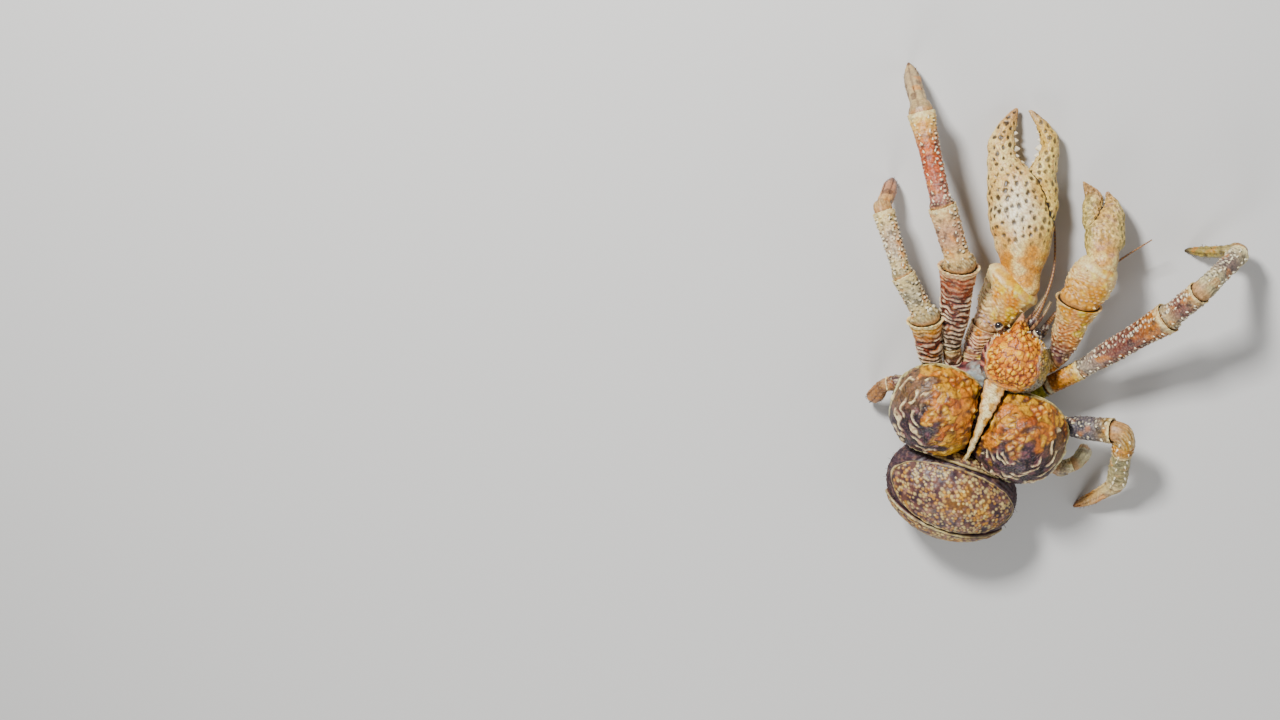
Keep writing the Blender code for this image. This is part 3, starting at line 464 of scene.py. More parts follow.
for number, (solid, start, end, half_share, roundness, columns, rows) in enumerate(PLATES):
    plate, sheet = slab(solid + "_plate", columns, rows)
    x, y, top = sheet.T
    across = x * np.sqrt(1 - roundness * y ** 2 / 2)
    along = y * np.sqrt(1 - roundness * x ** 2 / 2)
    inset = np.minimum((1 - np.abs(x)) * half_share * BELLY_RADII[0],
                       (1 - np.abs(y)) * math.radians(end - start) / 2 * BELLY_RADII[2])
    spread = across * half_share
    ring = np.sqrt(1 - spread ** 2)
    middle = (start + end) / 2 + along * (end - start) / 2 - PLATE_CROWN
    turn = np.radians(PLATE_CROWN + middle / np.sqrt(ring))
    out = np.stack((spread, np.cos(turn) * ring, np.sin(turn) * ring), 1)
    rounded = np.sqrt(1 - (1 - np.clip(inset / 0.0020, 0, 1)) ** 2)
    swell = 0.0016 * (1 - x ** 2) * (1 - y ** 2)
    lift = np.where(top > 0.5, PLATE_THICKNESS * (0.35 + 0.65 * rounded) + swell, -PLATE_SUNK)
    points = BELLY_CENTRE + out * (BELLY_RADII + lift[:, None])
    move_points(plate, points)
    face_outward(plate)
    grains = scattered(points[(top > 0.5) & (inset > 0.002)], PLATE_GRAIN, 20 + number)
    grains = thinned(grains, 0.72, number)
    first, _, owner = cells(points, grains)
    draw = np.random.default_rng(40 + number)
    chance = draw.uniform(size=len(grains))[owner]
    wide = draw.uniform(0.8, 1.60, len(grains))[owner]
    bead = ramp(-first / wide, -0.0020, -0.0008) * top
    lip = ramp(-inset, -0.0026, -0.0016) * ramp(inset, 0.0, 0.0007) * top
    gutter = ramp(-inset, -0.0042, -0.0032) * ramp(inset, 0.0022, 0.0030) * top
    push(plate, bead * 0.0006 * ramp(inset, 0.0030, 0.0045) + lip * 0.0006 - gutter * 0.0005
         + waves(points, 0.010, 30) * 0.0003 * top)
    base = mixed("80564c", ("563846", 0.5 + 0.6 * waves(points, 0.012, 31)))
    warm = ramp(0.6 - np.hypot(x - 0.1, y + 0.2) + 0.3 * waves(points, 0.022, 32), -0.1, 0.7)
    base = mixed(base, ("a4743c", warm * 0.8))
    dot = mixed(
        "e2cc94", ("dca458", ramp(chance, 0.35, 0.65)),
        ("b08878", ramp(chance, 0.70, 0.88)))
    cover = mixed(
        base, (dot, bead * (0.75 + 0.25 * warm)),
        ("3a2430", gutter * 0.7),
        ("c4b488", lip * (0.45 + 0.55 * ramp(waves(points, 0.013, 33), -0.8, 0.3))),
        ("4a3040", 1 - top))
    paint(plate, cover)
    fit(plate, plate_shell, "abdomen_plate", solid)

# The two gill covers: deep squarish domes, orange and lumpy in front and inward,
# purple-brown behind and outward with raised cream crescents, and a pale green-yellow
# margin. One even ball each, pressed flat below and at the middle.
LOBE_CENTRE = np.array((0.047, -0.001, 0.063))
LOBE_RADII = np.array((0.052, 0.054, 0.061))
LOBE_SQUARENESS = 2.35
LOBE_RIM_FRONT = 0.084
LOBE_RIM_REAR = 0.050
STRIP = ((-0.046, 0.0015, 0.088), (-0.020, 0.0025, 0.103), (0.010, 0.0050, 0.110),
         (0.030, 0.0090, 0.108), (0.050, 0.0115, 0.096))
# How strongly lying outward and lying forward count towards the purple part, and a shift.
PURPLE = {"left": (0.95, 0.45, 0.0), "right": (0.55, 0.85, 0.12)}
LUMP = 0.0064
PEBBLE = 0.0028
BOW_PITCH = 0.0062


def pressed(points, place, outward, keep=0.0):
    """Points past a plane are pressed back to it, keeping a share of their depth."""
    outward = np.asarray(outward, float) / np.linalg.norm(outward)
    depth = (points - place) @ outward
    return points - np.maximum(depth, 0)[:, None] * outward * (1 - keep)


lobe_shell = shell_finish("gill_cover_shell", grain=1000, mottle=0.40, relief=0.45,
                          rough=(0.38, 0.60), coat=0.06)
for hand, sign in (("left", -1), ("right", 1)):
    lobe, ball = even_ball(f"gill_cover_{hand}", 108)
    around = np.hypot(ball[:, 0], ball[:, 1])
    plan = (np.abs(ball[:, 0]) ** LOBE_SQUARENESS
            + np.abs(ball[:, 1]) ** LOBE_SQUARENESS) ** (1 / LOBE_SQUARENESS)
    fill = np.where(around > 1e-6, around / np.maximum(plan, 1e-6), 1)
    middle = LOBE_CENTRE * (sign, 1, 1)
    dome = middle + ball * LOBE_RADII * np.stack((fill, fill, np.ones(len(fill))), 1)
    slope = (LOBE_RIM_FRONT - LOBE_RIM_REAR) / (2 * LOBE_RADII[1])
    rear_edge = np.array((0, middle[1] - LOBE_RADII[1], LOBE_RIM_REAR))
    above = dome[:, 2] - rear_edge[2] - (dome[:, 1] - rear_edge[1]) * slope
    taper = (STRIP[-1][1] - STRIP[0][1]) / (STRIP[-1][0] - STRIP[0][0])
    dome = pressed(dome, rear_edge, (0, slope, -1), 0.05)
    inner_place = np.array((sign * (STRIP[0][1] + 0.0002), STRIP[0][0], 0))
    to_middle = (dome - inner_place) @ (np.array((-sign, taper, 0)) / math.hypot(1, taper))
    dome = pressed(dome, inner_place, (-sign, taper, 0))
    points = dome + origin
    move_points(lobe, points)
    face_outward(lobe)
    outward = ball[:, 0] * sign
    forward = ball[:, 1]
    out_share, fore_share, shift = PURPLE[hand]
    lean = outward * out_share - forward * fore_share + shift
    rear = ramp(lean + 0.20 * waves(points, 0.020, 50), -0.20, 0.40)
    lumps = thinned(scattered(points[ball[:, 2] > -0.3], LUMP, 51), 0.62, 47)
    first, second, owner = cells(points + 0.0020 * waves(points, 0.009, 59)[:, None], lumps)
    # The cracks between the lumps are painted dark, partly as the shell's own colour and partly as
    # painted shade in the grooves.
    shaded_crack = 1 - ramp(second - first, 0.0, 0.0042)
    draw = np.random.default_rng(52)
    size_of = draw.uniform(0.3, 1.0, len(lumps))[owner]
    hue_of = draw.uniform(size=len(lumps))[owner]
    knob = ramp(-first, -LUMP * 0.55, -LUMP * 0.12)
    near_pebble, _, _ = cells(points, scattered(points[ball[:, 2] > -0.3], PEBBLE, 49))
    pebble = ramp(-near_pebble, -0.0015, -0.0004)
    # crescents: long raised bows in rows along the outer and rear edge
    bow_middle = middle + origin + (sign * 0.003, 0.005, 0.05)
    from_bow = points - bow_middle
    bow_way = np.arctan2(from_bow[:, 1], from_bow[:, 0] * sign)
    bow_far = np.hypot(from_bow[:, 0], from_bow[:, 1]) + 0.0016 * waves(points, 0.016, 53)
    bow_row = np.round(bow_far / BOW_PITCH)
    bow_line = 1 - np.abs(bow_far / BOW_PITCH - bow_row) * 2
    dash = np.sin(bow_way * (1.5 + 0.7 * bow_row) + bow_row * 2.6) + 0.30 * waves(points, 0.011, 54)
    thick = 0.12 * waves(points, 0.008, 42)
    bow = (ramp(bow_line + thick, 0.54, 0.82) * ramp(dash, -0.25, 0.25) * ramp(rear, 0.55, 0.9)
           * ramp(bow_far, 0.016, 0.024)
           * ramp(ball[:, 2] + 0.12 * waves(points, 0.010, 43), 0.16, 0.30))
    rim = ramp(-above + 0.0012 * waves(points, 0.012, 46), -0.0058, -0.0032)
    margin = (ramp(plan + 0.006 * waves(points, 0.009, 40), 0.950, 0.962)
              * (1 - ramp(plan, 0.970, 0.980)) * ramp(ball[:, 2], 0.05, 0.15)
              * ramp(outward, -0.75, -0.60)
              * ramp(ball[:, 2] - 0.9 * np.maximum(forward, 0), -1.0, -0.8))
    # Painted shade along the inner edge, where the cover meets the strip.
    shaded_seam = ramp(to_middle, -0.0020, 0.0)
    lumpy = knob * 0.0016 * size_of - shaded_crack * 0.0005 + pebble * 0.0004
    push(lobe, lumpy * (1 - rim) * (1 - 0.6 * rear)
         + bow * 0.0017 + margin * 0.0011 - shaded_seam * 0.0009 + rear * pebble * 0.0003
         + waves(points, 0.018, 55) * 0.0009 * (1 - rim))
    shade = ramp(waves(points, 0.013, 48) + rear * 1.5 - 0.25, 0.10, 1.30)
    yellow = ramp(-np.hypot(outward + 0.48, forward + 0.62), -0.46, -0.14)
    # The pale coat on the crowns of the larger lumps is a painted highlight.
    front = mixed(
        "d07c2a", ("e0963a", size_of),
        ("c0603c", ramp(waves(points, 0.022, 44), 0.3, 1.2) * 0.6),
        ("d8a840", ramp(hue_of, 0.62, 0.72) * 0.8),
        ("b05a26", ramp(hue_of, 0.0, 0.12) * (1 - ramp(hue_of, 0.12, 0.24))),
        ("f0c884", knob * ramp(size_of, 0.40, 0.8) * 0.9),
        ("7a4426", shaded_crack * ramp(waves(points, 0.010, 56), -1.2, 0.3) * 0.7),
        ("5e3628", shade * (0.85 - 0.6 * knob)),
        ("dcae34", yellow * (0.45 + 0.5 * knob)))
    back = mixed(
        "583a4e", ("33222c", 0.5 + 0.8 * waves(points, 0.009, 57)),
        ("8e5a62", ramp(waves(points, 0.013, 58), 0.2, 0.9) * 0.8),
        ("9a7440", ramp(outward + forward, 0.3, 0.9) * 0.6),
        ("a8846a", pebble * 0.35))
    bow_tone = mixed("e8d6b0", ("cca888", ramp(waves(points, 0.007, 41), 0, 1)))
    rim_tone = mixed("cdc592", ("8c7448", ramp(waves(points, 0.009, 45), 0.0, 1.0)))
    coat = mixed(
        front, (back, ramp(rear, 0.40, 0.80)),
        ("2c1a20", ramp(bow_line, -0.6, 0.1) * (1 - ramp(bow_line, 0.1, 0.4))
         * ramp(dash, -0.1, 0.4) * ramp(rear, 0.6, 0.9) * 0.8),
        (bow_tone, bow), (rim_tone, rim * 0.75), ("e2dcb0", margin), ("38201a", shaded_seam * 0.85))
    paint(lobe, coat)
    fit(lobe, lobe_shell, "lobe_shell", f"carapace_lobe_{hand}")

# The strip between the gill covers: a narrow cream plate, broad in front under the
# shield and tapering to a point at the abdomen, with a low keel.
strip_rows = [(*(BODY + Vector((0, y, top - 0.0065))), 1, 0, 0, 0, 0, 1, wide + 0.0006, 0.0068)
              for y, wide, top in STRIP]
strip, share, angle = turned_ball("back_strip", 40, 110, drawn_out(strip_rows, 0.02))
points = points_of(strip)
first, second, _ = cells(points, scattered(points, 0.0032, 60))
keel = ramp(np.sin(angle), 0.55, 1.0)
push(strip, ramp(second - first, 0, 0.0012) * 0.0004 + waves(points, 0.01, 61) * 0.0005
     - keel * 0.0012)
cream = mixed(
    "f2e2b4", ("d8a864", ramp(waves(points, 0.012, 62), 0.1, 1.1)),
    ("8a5a3c", ramp(-(second - first), -0.0006, 0) * 0.7),
    ("c8803c", ramp(share, 0.05, 0.5) * (1 - keel) * 0.5),
    ("4a2c20", 1 - ramp(np.sin(angle), 0.10, 0.45)))
paint(strip, cream)
fit(strip, shell_finish("strip_shell", grain=900), "strip_shell", "carapace_strip")

# The shield over the head: a high arched plate of thick shell, bright orange and
# covered with flat bumpy scales, drawn out in front to a blunt beak between the
# eye sockets, with a pale raised line and a smoother wall down each flank.
SHIELD_PIVOT = np.array((0.0130, 0.079, 0.070))
SHIELD_RADII = np.array((0.037, 0.036, 0.045))
SHIELD_YAW = 9.0
SHIELD_PITCH = -14.0
SHIELD_ROLL = -8.0
BEAK_REACH = 0.0185
BEAK_RISE = 0.0042
SOCKET_DEPTH = 0.0055
SHIELD_RIM = 0.070
SHIELD_SCALE = 0.0046
SHIELD_GRIT = 0.0022
SHIELD_STRETCH = np.array((1.12, 0.84, 1.0))
SHIELD_TAPER = 0.28
SHIELD_SQUARENESS = 2.8
FLANK = 0.76


def nearest(points, spots):
    """Which point of a skin lies next to each spot."""
    return [int(np.argmin(((points - spot) ** 2).sum(1))) for spot in spots]


shield, ball = even_ball("head_shield", 112)
forward = np.maximum(ball[:, 1], 0)
aside = np.abs(ball[:, 0])
behind = np.minimum(ball[:, 1], 0)
square = (aside ** SHIELD_SQUARENESS
          + np.abs(behind) ** SHIELD_SQUARENESS) ** (1 / SHIELD_SQUARENESS)
fill = np.where(behind < 0, np.hypot(aside, behind) / np.maximum(square, 1e-6), 1)[:, None]
points = ball * SHIELD_RADII * np.hstack((fill, fill, fill * 0 + 1))
beak = np.maximum(0, 1 - aside / 0.36) ** 1.1
socket = np.maximum(0, 1 - np.abs(aside - 0.52) / 0.26)
points[:, 1] += (BEAK_REACH * beak - SOCKET_DEPTH * socket) * forward ** 3
points[:, 2] += BEAK_RISE * beak * forward ** 4
points[:, 0] *= 1 - SHIELD_TAPER * forward ** 2
turn = Matrix.Rotation(math.radians(SHIELD_YAW), 3, "Z")
turn = turn @ Matrix.Rotation(math.radians(SHIELD_PITCH), 3, "X")
turn = turn @ Matrix.Rotation(math.radians(SHIELD_ROLL), 3, "Y")
points = points @ np.array(turn).T + SHIELD_PIVOT
above = points[:, 2] - SHIELD_RIM
points[:, :2] -= (points[:, :2] - SHIELD_PIVOT[:2]) * (np.clip(-above, 0, 0.03) * 6)[:, None]
points = pressed(points, (0, 0, SHIELD_RIM), (0, 0, -1), 0.06) + origin
move_points(shield, points)
face_outward(shield)
low = ramp(-above, -0.0060, -0.0025)
place = np.hypot(aside, 0.86 * behind) + 0.02 * waves(points, 0.012, 70)
line = ramp(place, FLANK - 0.05, FLANK - 0.01) * (1 - ramp(place, FLANK + 0.03, FLANK + 0.07))
line *= ramp(above, 0.004, 0.012)
wall = ramp(place + 0.03 * waves(points, 0.006, 60), FLANK + 0.01, FLANK + 0.10)
grains = thinned(scattered(points[above > 0.001], SHIELD_SCALE, 71), 0.66, 64)
bent = points + 0.0009 * waves(points, 0.006, 69)[:, None]
first, second, owner = cells(bent * SHIELD_STRETCH, grains * SHIELD_STRETCH)
# The cracks between the scales are painted dark, partly as the shell's own colour and partly as
# painted shade in the grooves.
shaded_crack = (1 - ramp(second - first, 0.0002, 0.0024)) * ramp(waves(points, 0.009, 63), -1.4, 0.0)
draw = np.random.default_rng(72)
size_of = draw.uniform(0.2, 1.0, len(grains))[owner]
hue_of = draw.uniform(size=len(grains))[owner]
knob = ramp(-first, -0.0033, -0.0009)
near_grit, _, _ = cells(points, scattered(points[above > 0.001], SHIELD_GRIT, 73))
grit = ramp(-near_grit, -0.0012, -0.0003)
fold = (np.sin((ball[:, 1] * 0.8 + ball[:, 2] * 0.5) * 26 + 1.2 * waves(points, 0.02, 68)) + 1) / 2
scaly = knob * 0.0019 * (0.35 + 0.65 * size_of) - shaded_crack * 0.0004
push(shield, scaly * (1 - 0.7 * low) * (1 - line) * (1 - 0.6 * wall) + grit * 0.0004
     + line * 0.0008 - wall * 0.0004 + wall * fold * 0.0009 + wall * grit * 0.0005
     + low * 0.0006 - 0.0006 + waves(points, 0.018, 74) * 0.0006)
near_beak = ramp(ball[:, 1] * 0.9 - ball[:, 0] * 0.5 + 0.15 * waves(points, 0.012, 67), 0.55, 1.0)
spike = ramp(beak * ramp(forward, 0.80, 0.95), 0.25, 0.60)
rosy = ramp(ball[:, 0] + 0.3 * waves(points, 0.012, 76), 0.45, 0.8) * ramp(-ball[:, 1], -0.75, -0.1)
left_flank = mixed(
    "b86a6c", ("5a2c3c", ramp(fold, 0.35, 0.7)), ("e0a890", ramp(-fold, -0.2, -0.05)))
right_flank = mixed(
    "c8a850", ("968648", 0.5 + 0.8 * waves(points, 0.007, 66)),
    ("6a4a38", ramp(waves(points, 0.010, 62), 0.1, 1.0) * 0.8),
    ("e0c8a0", knob * 0.6),
    ("dcc894", grit * 0.4))
corner = ramp(-ball[:, 1], 0.35, 0.60) * ramp(ball[:, 2], -0.2, 0.1)
corner_tone = mixed(
    "a4b4b6", ("70686a", 0.5 + 0.8 * waves(points, 0.006, 61)), ("c4bca8", grit * 0.8))
dashes = 0.35 + 0.65 * ramp(waves(points, 0.007, 65) + (ball[:, 0] < 0) * 0.8, -0.4, 0.5)
# The yellow on the crowns of the larger scales and the small pale spot at the middle of the largest
# are painted highlights.
shell = mixed(
    "f09c2c", ("e2841c", 0.5 + 0.6 * waves(points, 0.016, 75)),
    ("f0ac34", ramp(hue_of, 0.5, 0.7) * 0.8),
    ("fcd05c", knob * ramp(size_of, 0.30, 0.65) * 0.85),
    ("f8dc9c", ramp(-first, -0.0013, -0.0003) * ramp(size_of, 0.65, 0.9) * 0.7),
    ("8a3a12", shaded_crack * 0.88),
    ("8a3430", near_beak * (0.22 + 0.6 * shaded_crack) * (1 - 0.6 * knob)),
    ("d8a48c", spike * 0.8),
    ("a86070", rosy * 0.4 * (1 - knob)),
    (left_flank, wall * (ball[:, 0] < 0) * 0.95),
    (right_flank, wall * (ball[:, 0] > 0) * 0.95),
    (corner_tone, wall * corner * 0.85),
    ("e8ccb0", line * dashes * (0.5 + 0.5 * (ball[:, 1] > -0.2))),
    ("c3b59a", low * 0.7))
paint(shield, shell)
ways = normals_of(shield)
edge = np.nonzero((np.abs(above - 0.010) < 0.004) & (ball[:, 1] > 0.45) & (aside > 0.30))[0]
chosen = nearest(points, scattered(points[edge], 0.0042, 77))
plant(shield, thorn("front_spine", 0.0011, 0.0026, 0.3, 6, 4), points[chosen], ways[chosen],
      draw.uniform(0.7, 1.2, len(chosen)), "efe0c4")
fit(shield, shell_finish("shield_shell", grain=1000, mottle=0.36, relief=0.45, rough=(0.34, 0.56),
                         coat=0.10), "shield_shell", "carapace_shield")

# The eyes: short jointed stalks from under the beak, purple-brown with a pale ring
# where the black, wet cornea sits. A tiny pointed scale lies over each stalk's root.
EYE_RADIUS = 0.0044
EYES = (("left", (-0.002, 0.092, 0.072), (-0.0175, 0.1100, 0.0790)),
        ("right", (0.010, 0.094, 0.070), (0.0245, 0.1165, 0.0770)))


def across(axis):
    """Two directions across an axis: sideways, and up."""
    side = axis.cross(UP).normalized()
    return side, side.cross(axis).normalized()


def tube_rows(path, sizes):
    """Stations of a tube along a few points, with a half width and depth at each."""
    rows = []
    for number, point in enumerate(path):
        before = path[max(0, number - 1)]
        after = path[min(len(path) - 1, number + 1)]
        side, lift = across((after - before).normalized())
        half = sizes[number] if isinstance(sizes[number], tuple) else (sizes[number],) * 2
        rows.append((*(BODY + point), *side, *lift, *half))
    return rows


def tube(title, path, sizes, around, rows, blunt):
    """A tube along a few points, where its surface is, and each point's share and angle."""
    stations = tube_rows([Vector(point) for point in path], sizes)
    piece, share, angle = turned_ball(title, around, rows, drawn_out(stations, blunt))
    return piece, points_of(piece), share, angle


STALK_SHARES = (0.0, 0.25, 0.5, 0.8, 1.0)
STALK_SIZES = (0.0036, 0.0034, 0.0028, 0.0036, 0.0043)
stalk_shell = shell_finish("stalk_shell", grain=1600, mottle=0.3, relief=0.25)
cornea = bpy.data.materials.new("wet_cornea")
cornea.use_nodes = True
wet = cornea.node_tree
eye_place = added(wet, "TexCoord", {})
lattice = added(wet, "TexVoronoi", {"Vector": eye_place.outputs["Object"], "Scale": 5200.0})
facets = added(wet, "ValToRGB", {"Fac": lattice.outputs["Distance"]})
facets.color_ramp.elements[0].color = (0.030, 0.020, 0.020, 1)
facets.color_ramp.elements[1].color = (0.006, 0.005, 0.006, 1)
feed(wet, wet.nodes["Principled BSDF"], {"Base Color": facets.outputs["Color"], "Roughness": 0.12,
                                         "Coat Weight": 1.0, "Coat Roughness": 0.04})

for hand, root, tip in EYES:
    root, tip = Vector(root), Vector(tip)
    axis = (tip - root).normalized()
    path = [root + (tip - root - axis * EYE_RADIUS * 0.3) * share for share in STALK_SHARES]
    stalk, points, share, angle = tube(f"eye_stalk_{hand}", path, STALK_SIZES, 40, 60, 0.04)
    collar = ramp(share, 0.84, 0.92)
    joint = ramp(share, 0.30, 0.36) * (1 - ramp(share, 0.36, 0.42))
    push(stalk, waves(points, 0.003, 80) * 0.00018 - joint * 0.0005 + collar * 0.0003)
    colour = mixed(
        "7b4436", ("58333f", 0.5 + 0.6 * waves(points, 0.004, 81)),
        ("c98a58", ramp(waves(points, 0.003, 82), 0.3, 0.9) * 0.6),
        ("ddd0b4", collar))
    paint(stalk, colour)
    brow = np.nonzero((np.abs(share - 0.34) < 0.02) & (np.abs(angle - math.pi / 2) < 0.1))[0][:1]
    plant(stalk, thorn("brow_scale", 0.0016, 0.0052, 0.2, 10, 8), points[brow],
          [np.array(axis) + (0, 0, 0.25)] * len(brow), 1.0, "e0b888", (0, 0, 1))
    bristle = np.nonzero((share > 0.55) & (share < 0.85) & (np.sin(angle) > 0.3))[0][::23]
    plant(stalk, thorn("eye_hair", 0.00012, 0.0018, 0.3, 4, 4), points[bristle],
          normals_of(stalk)[bristle], 1.0, "b59a78", axis)
    fit(stalk, stalk_shell, "stalk_shell", f"eyestalk_{hand}")
    eye, ball = even_ball(f"eye_ball_{hand}", 26)
    side, lift = across(axis)
    turn = np.array((side, axis, lift)).T
    move_points(eye, (ball * (1.02, 1.12, 0.94) * EYE_RADIUS) @ turn.T + origin + np.array(tip))
    face_outward(eye)
    fit(eye, cornea, "eye_gloss", f"eye_{hand}")

# The feelers: two long antennae, each a chain of three thick spiny joints and a
# whip of many small rings, and between them two short antennules. All are hollow
# shell tubes, beige to red-brown, and the mouth legs below are flattened joints
# fringed with hairs.
ANTENNAE = (
    ("antenna_left", ((0.006, 0.090, 0.062), (0.014, 0.112, 0.062), (0.020, 0.140, 0.060),
                      (0.020, 0.180, 0.044), (0.006, 0.222, 0.022), (-0.012, 0.258, 0.012))),
    ("antenna_right", ((0.016, 0.084, 0.060), (0.030, 0.106, 0.054), (0.040, 0.132, 0.036),
                       (0.062, 0.174, 0.032), (0.084, 0.214, 0.040), (0.106, 0.248, 0.050))))
ANTENNA_SIZES = (0.0062, 0.0054, 0.0022, 0.0014, 0.0011, 0.0007)
ANTENNULES = (
    ("antennule_left", ((0.004, 0.094, 0.070), (0.006, 0.114, 0.071), (0.012, 0.136, 0.082),
                        (0.018, 0.158, 0.080))),
    ("antennule_right", ((0.010, 0.093, 0.069), (0.017, 0.114, 0.069), (0.023, 0.134, 0.077),
                         (0.026, 0.152, 0.074))))
ANTENNULE_SIZES = (0.0030, 0.0024, 0.0014, 0.0008)
MOUTH_LEGS = (
    ("maxilliped_left", ((0.000, 0.060, 0.040), (0.000, 0.086, 0.034), (0.002, 0.104, 0.036),
                         (0.004, 0.106, 0.050))),
    ("maxilliped_right", ((0.013, 0.060, 0.040), (0.014, 0.086, 0.034), (0.014, 0.104, 0.036),
                          (0.013, 0.106, 0.050))))
MOUTH_LEG_SIZES = (0.0060, 0.0064, 0.0050, 0.0030)
feeler_shell = shell_finish("feeler_shell", grain=1800, mottle=0.25, relief=0.2)

for solid, path in ANTENNAE:
    feeler, points, share, angle = tube(solid + "_rings", path, ANTENNA_SIZES, 20, 360, 0.01)
    base = 1 - ramp(share, 0.30, 0.33)
    knuckle = np.interp(share, (0.0, 0.09, 0.11, 0.13, 0.21, 0.23, 0.25, 0.31, 0.33),
                        (0, 0.0006, -0.0009, 0.0002, 0.0005, -0.0009, 0.0002, 0.0004, -0.0002))
    ring = np.sin(share * 360 * math.pi / 3.0)
    whip = 1 - base
    push(feeler, knuckle * base + ring * 0.00010 * whip + waves(points, 0.002, 90) * 0.0001 * base)
    colour = mixed(
        "9a6444", ("6e3a34", 0.5 + 0.5 * waves(points, 0.012, 91)),
        ("cfa878", whip * (0.35 + 0.35 * ring)),
        ("5c4a50", base * 0.8),
        ("d8d2c4", base * ramp(waves(points, 0.0035, 92), 0.2, 0.6) * 0.8),
        ("2e1c24", base * ramp(-knuckle, 0.0002, 0.0006)))
    paint(feeler, colour)
    hairs = np.nonzero((share < 0.30) & (np.sin(angle) > -0.2))[0][::31]
    plant(feeler, thorn("joint_spine", 0.0005, 0.0016, 0.5, 5, 4), points[hairs],
          normals_of(feeler)[hairs], 0.8, "ead8b8")
    fit(feeler, feeler_shell, "feeler_shell", solid)

for solid, path in ANTENNULES:
    feeler, points, share, angle = tube(solid + "_joints", path, ANTENNULE_SIZES, 18, 150, 0.02)
    knuckle = np.interp(share, (0.3, 0.33, 0.36, 0.63, 0.66, 0.69), (0, -0.0006, 0, 0, -0.0005, 0))
    brush = ramp(share, 0.69, 0.73)
    ring = np.sin(share * 150 * math.pi / 2.4)
    push(feeler, knuckle + ring * 0.00012 * brush)
    colour = mixed(
        "6e443c", ("b89474", 0.5 + 0.6 * waves(points, 0.005, 95)),
        ("c8b48c", brush * (0.4 + 0.4 * ring)))
    paint(feeler, colour)
    hairs = np.nonzero((share > 0.74) & (np.sin(angle) < -0.3))[0][::5]
    plant(feeler, thorn("brush_hair", 0.00010, 0.0020, 0.3, 3, 3), points[hairs],
          normals_of(feeler)[hairs], 1.0, "c9b48c")
    fit(feeler, feeler_shell, "feeler_shell", solid)

for solid, path in MOUTH_LEGS:
    leg, points, share, angle = tube(solid + "_joints", path, MOUTH_LEG_SIZES, 36, 150, 0.03)
    knuckle = np.interp(share, (0.30, 0.33, 0.36, 0.56, 0.58, 0.61, 0.78, 0.80, 0.83),
                        (0, -0.0014, 0, 0, -0.0012, 0, 0, -0.001, 0))
    push(leg, knuckle + waves(points, 0.004, 97) * 0.0003)
    colour = mixed(
        "8a6054", ("54404a", 0.5 + 0.6 * waves(points, 0.009, 98)),
        ("d8ccb8", ramp(waves(points, 0.004, 99), 0.3, 0.8) * 0.7),
        ("dcc8a4", ramp(-np.abs(share - 0.31), -0.03, -0.005) * 0.8))
    paint(leg, colour)
    fringe = np.nonzero((np.cos(angle) < -0.6) | (share > 0.9))[0][::13]
    plant(leg, thorn("mouth_hair", 0.00016, 0.0034, 0.5, 4, 4), points[fringe],
          normals_of(leg)[fringe], 1.0, "8a6a48")
    fit(leg, feeler_shell, "feeler_shell", solid)

# The legs and claws share one way of making: each length is a ball drawn out along
# its own line, its root rounded to turn in the socket ahead, its far rim flared
# and folded in. Lengths, headings and rises repeat those of the solids.
GAP = 0.0003
BOW = 0.004
LEAN_OF = {"claw_left_carpus": -0.008}
FLARE = {"leg_2_left_merus": 0.10, "leg_3_left_merus": 0.10, "claw_right_merus": 0.05}
PLAIN_FLARE = 0.025
DOME_SHARES = (0.90, 0.92, 0.94, 0.955, 0.97, 0.985, 1.0)
DOMED = ("claw_left_carpus", "claw_right_carpus")
KNUCKLE = 0.88
ROOT = 0.12
RIM = 0.92
JOINT_SKIN = "c89a70"


def direction(heading, rise):
    turn, lift = math.radians(heading), math.radians(rise)
    return Vector((math.cos(lift) * math.sin(turn), math.cos(lift) * math.cos(turn),
                   math.sin(lift)))


def neck_length(radius, before, after):
    return radius * math.tan(min(before.angle(after), 2.3) / 2) + 0.001


def sizes_along(root, middle, rim, share):
    """Half width and half depth along a length, from its sizes at three places."""
    root, middle, rim = (np.array(pair)[None] for pair in (root, middle, rim))
    share = share[:, None]
    near = root + (middle - root) * np.sin(math.pi * np.clip(share, 0, 0.5))
    far = middle + (rim - middle) * (1 - np.cos(math.pi * (np.clip(share, 0.5, 1) - 0.5)))
    return np.where(share < 0.5, near, far)


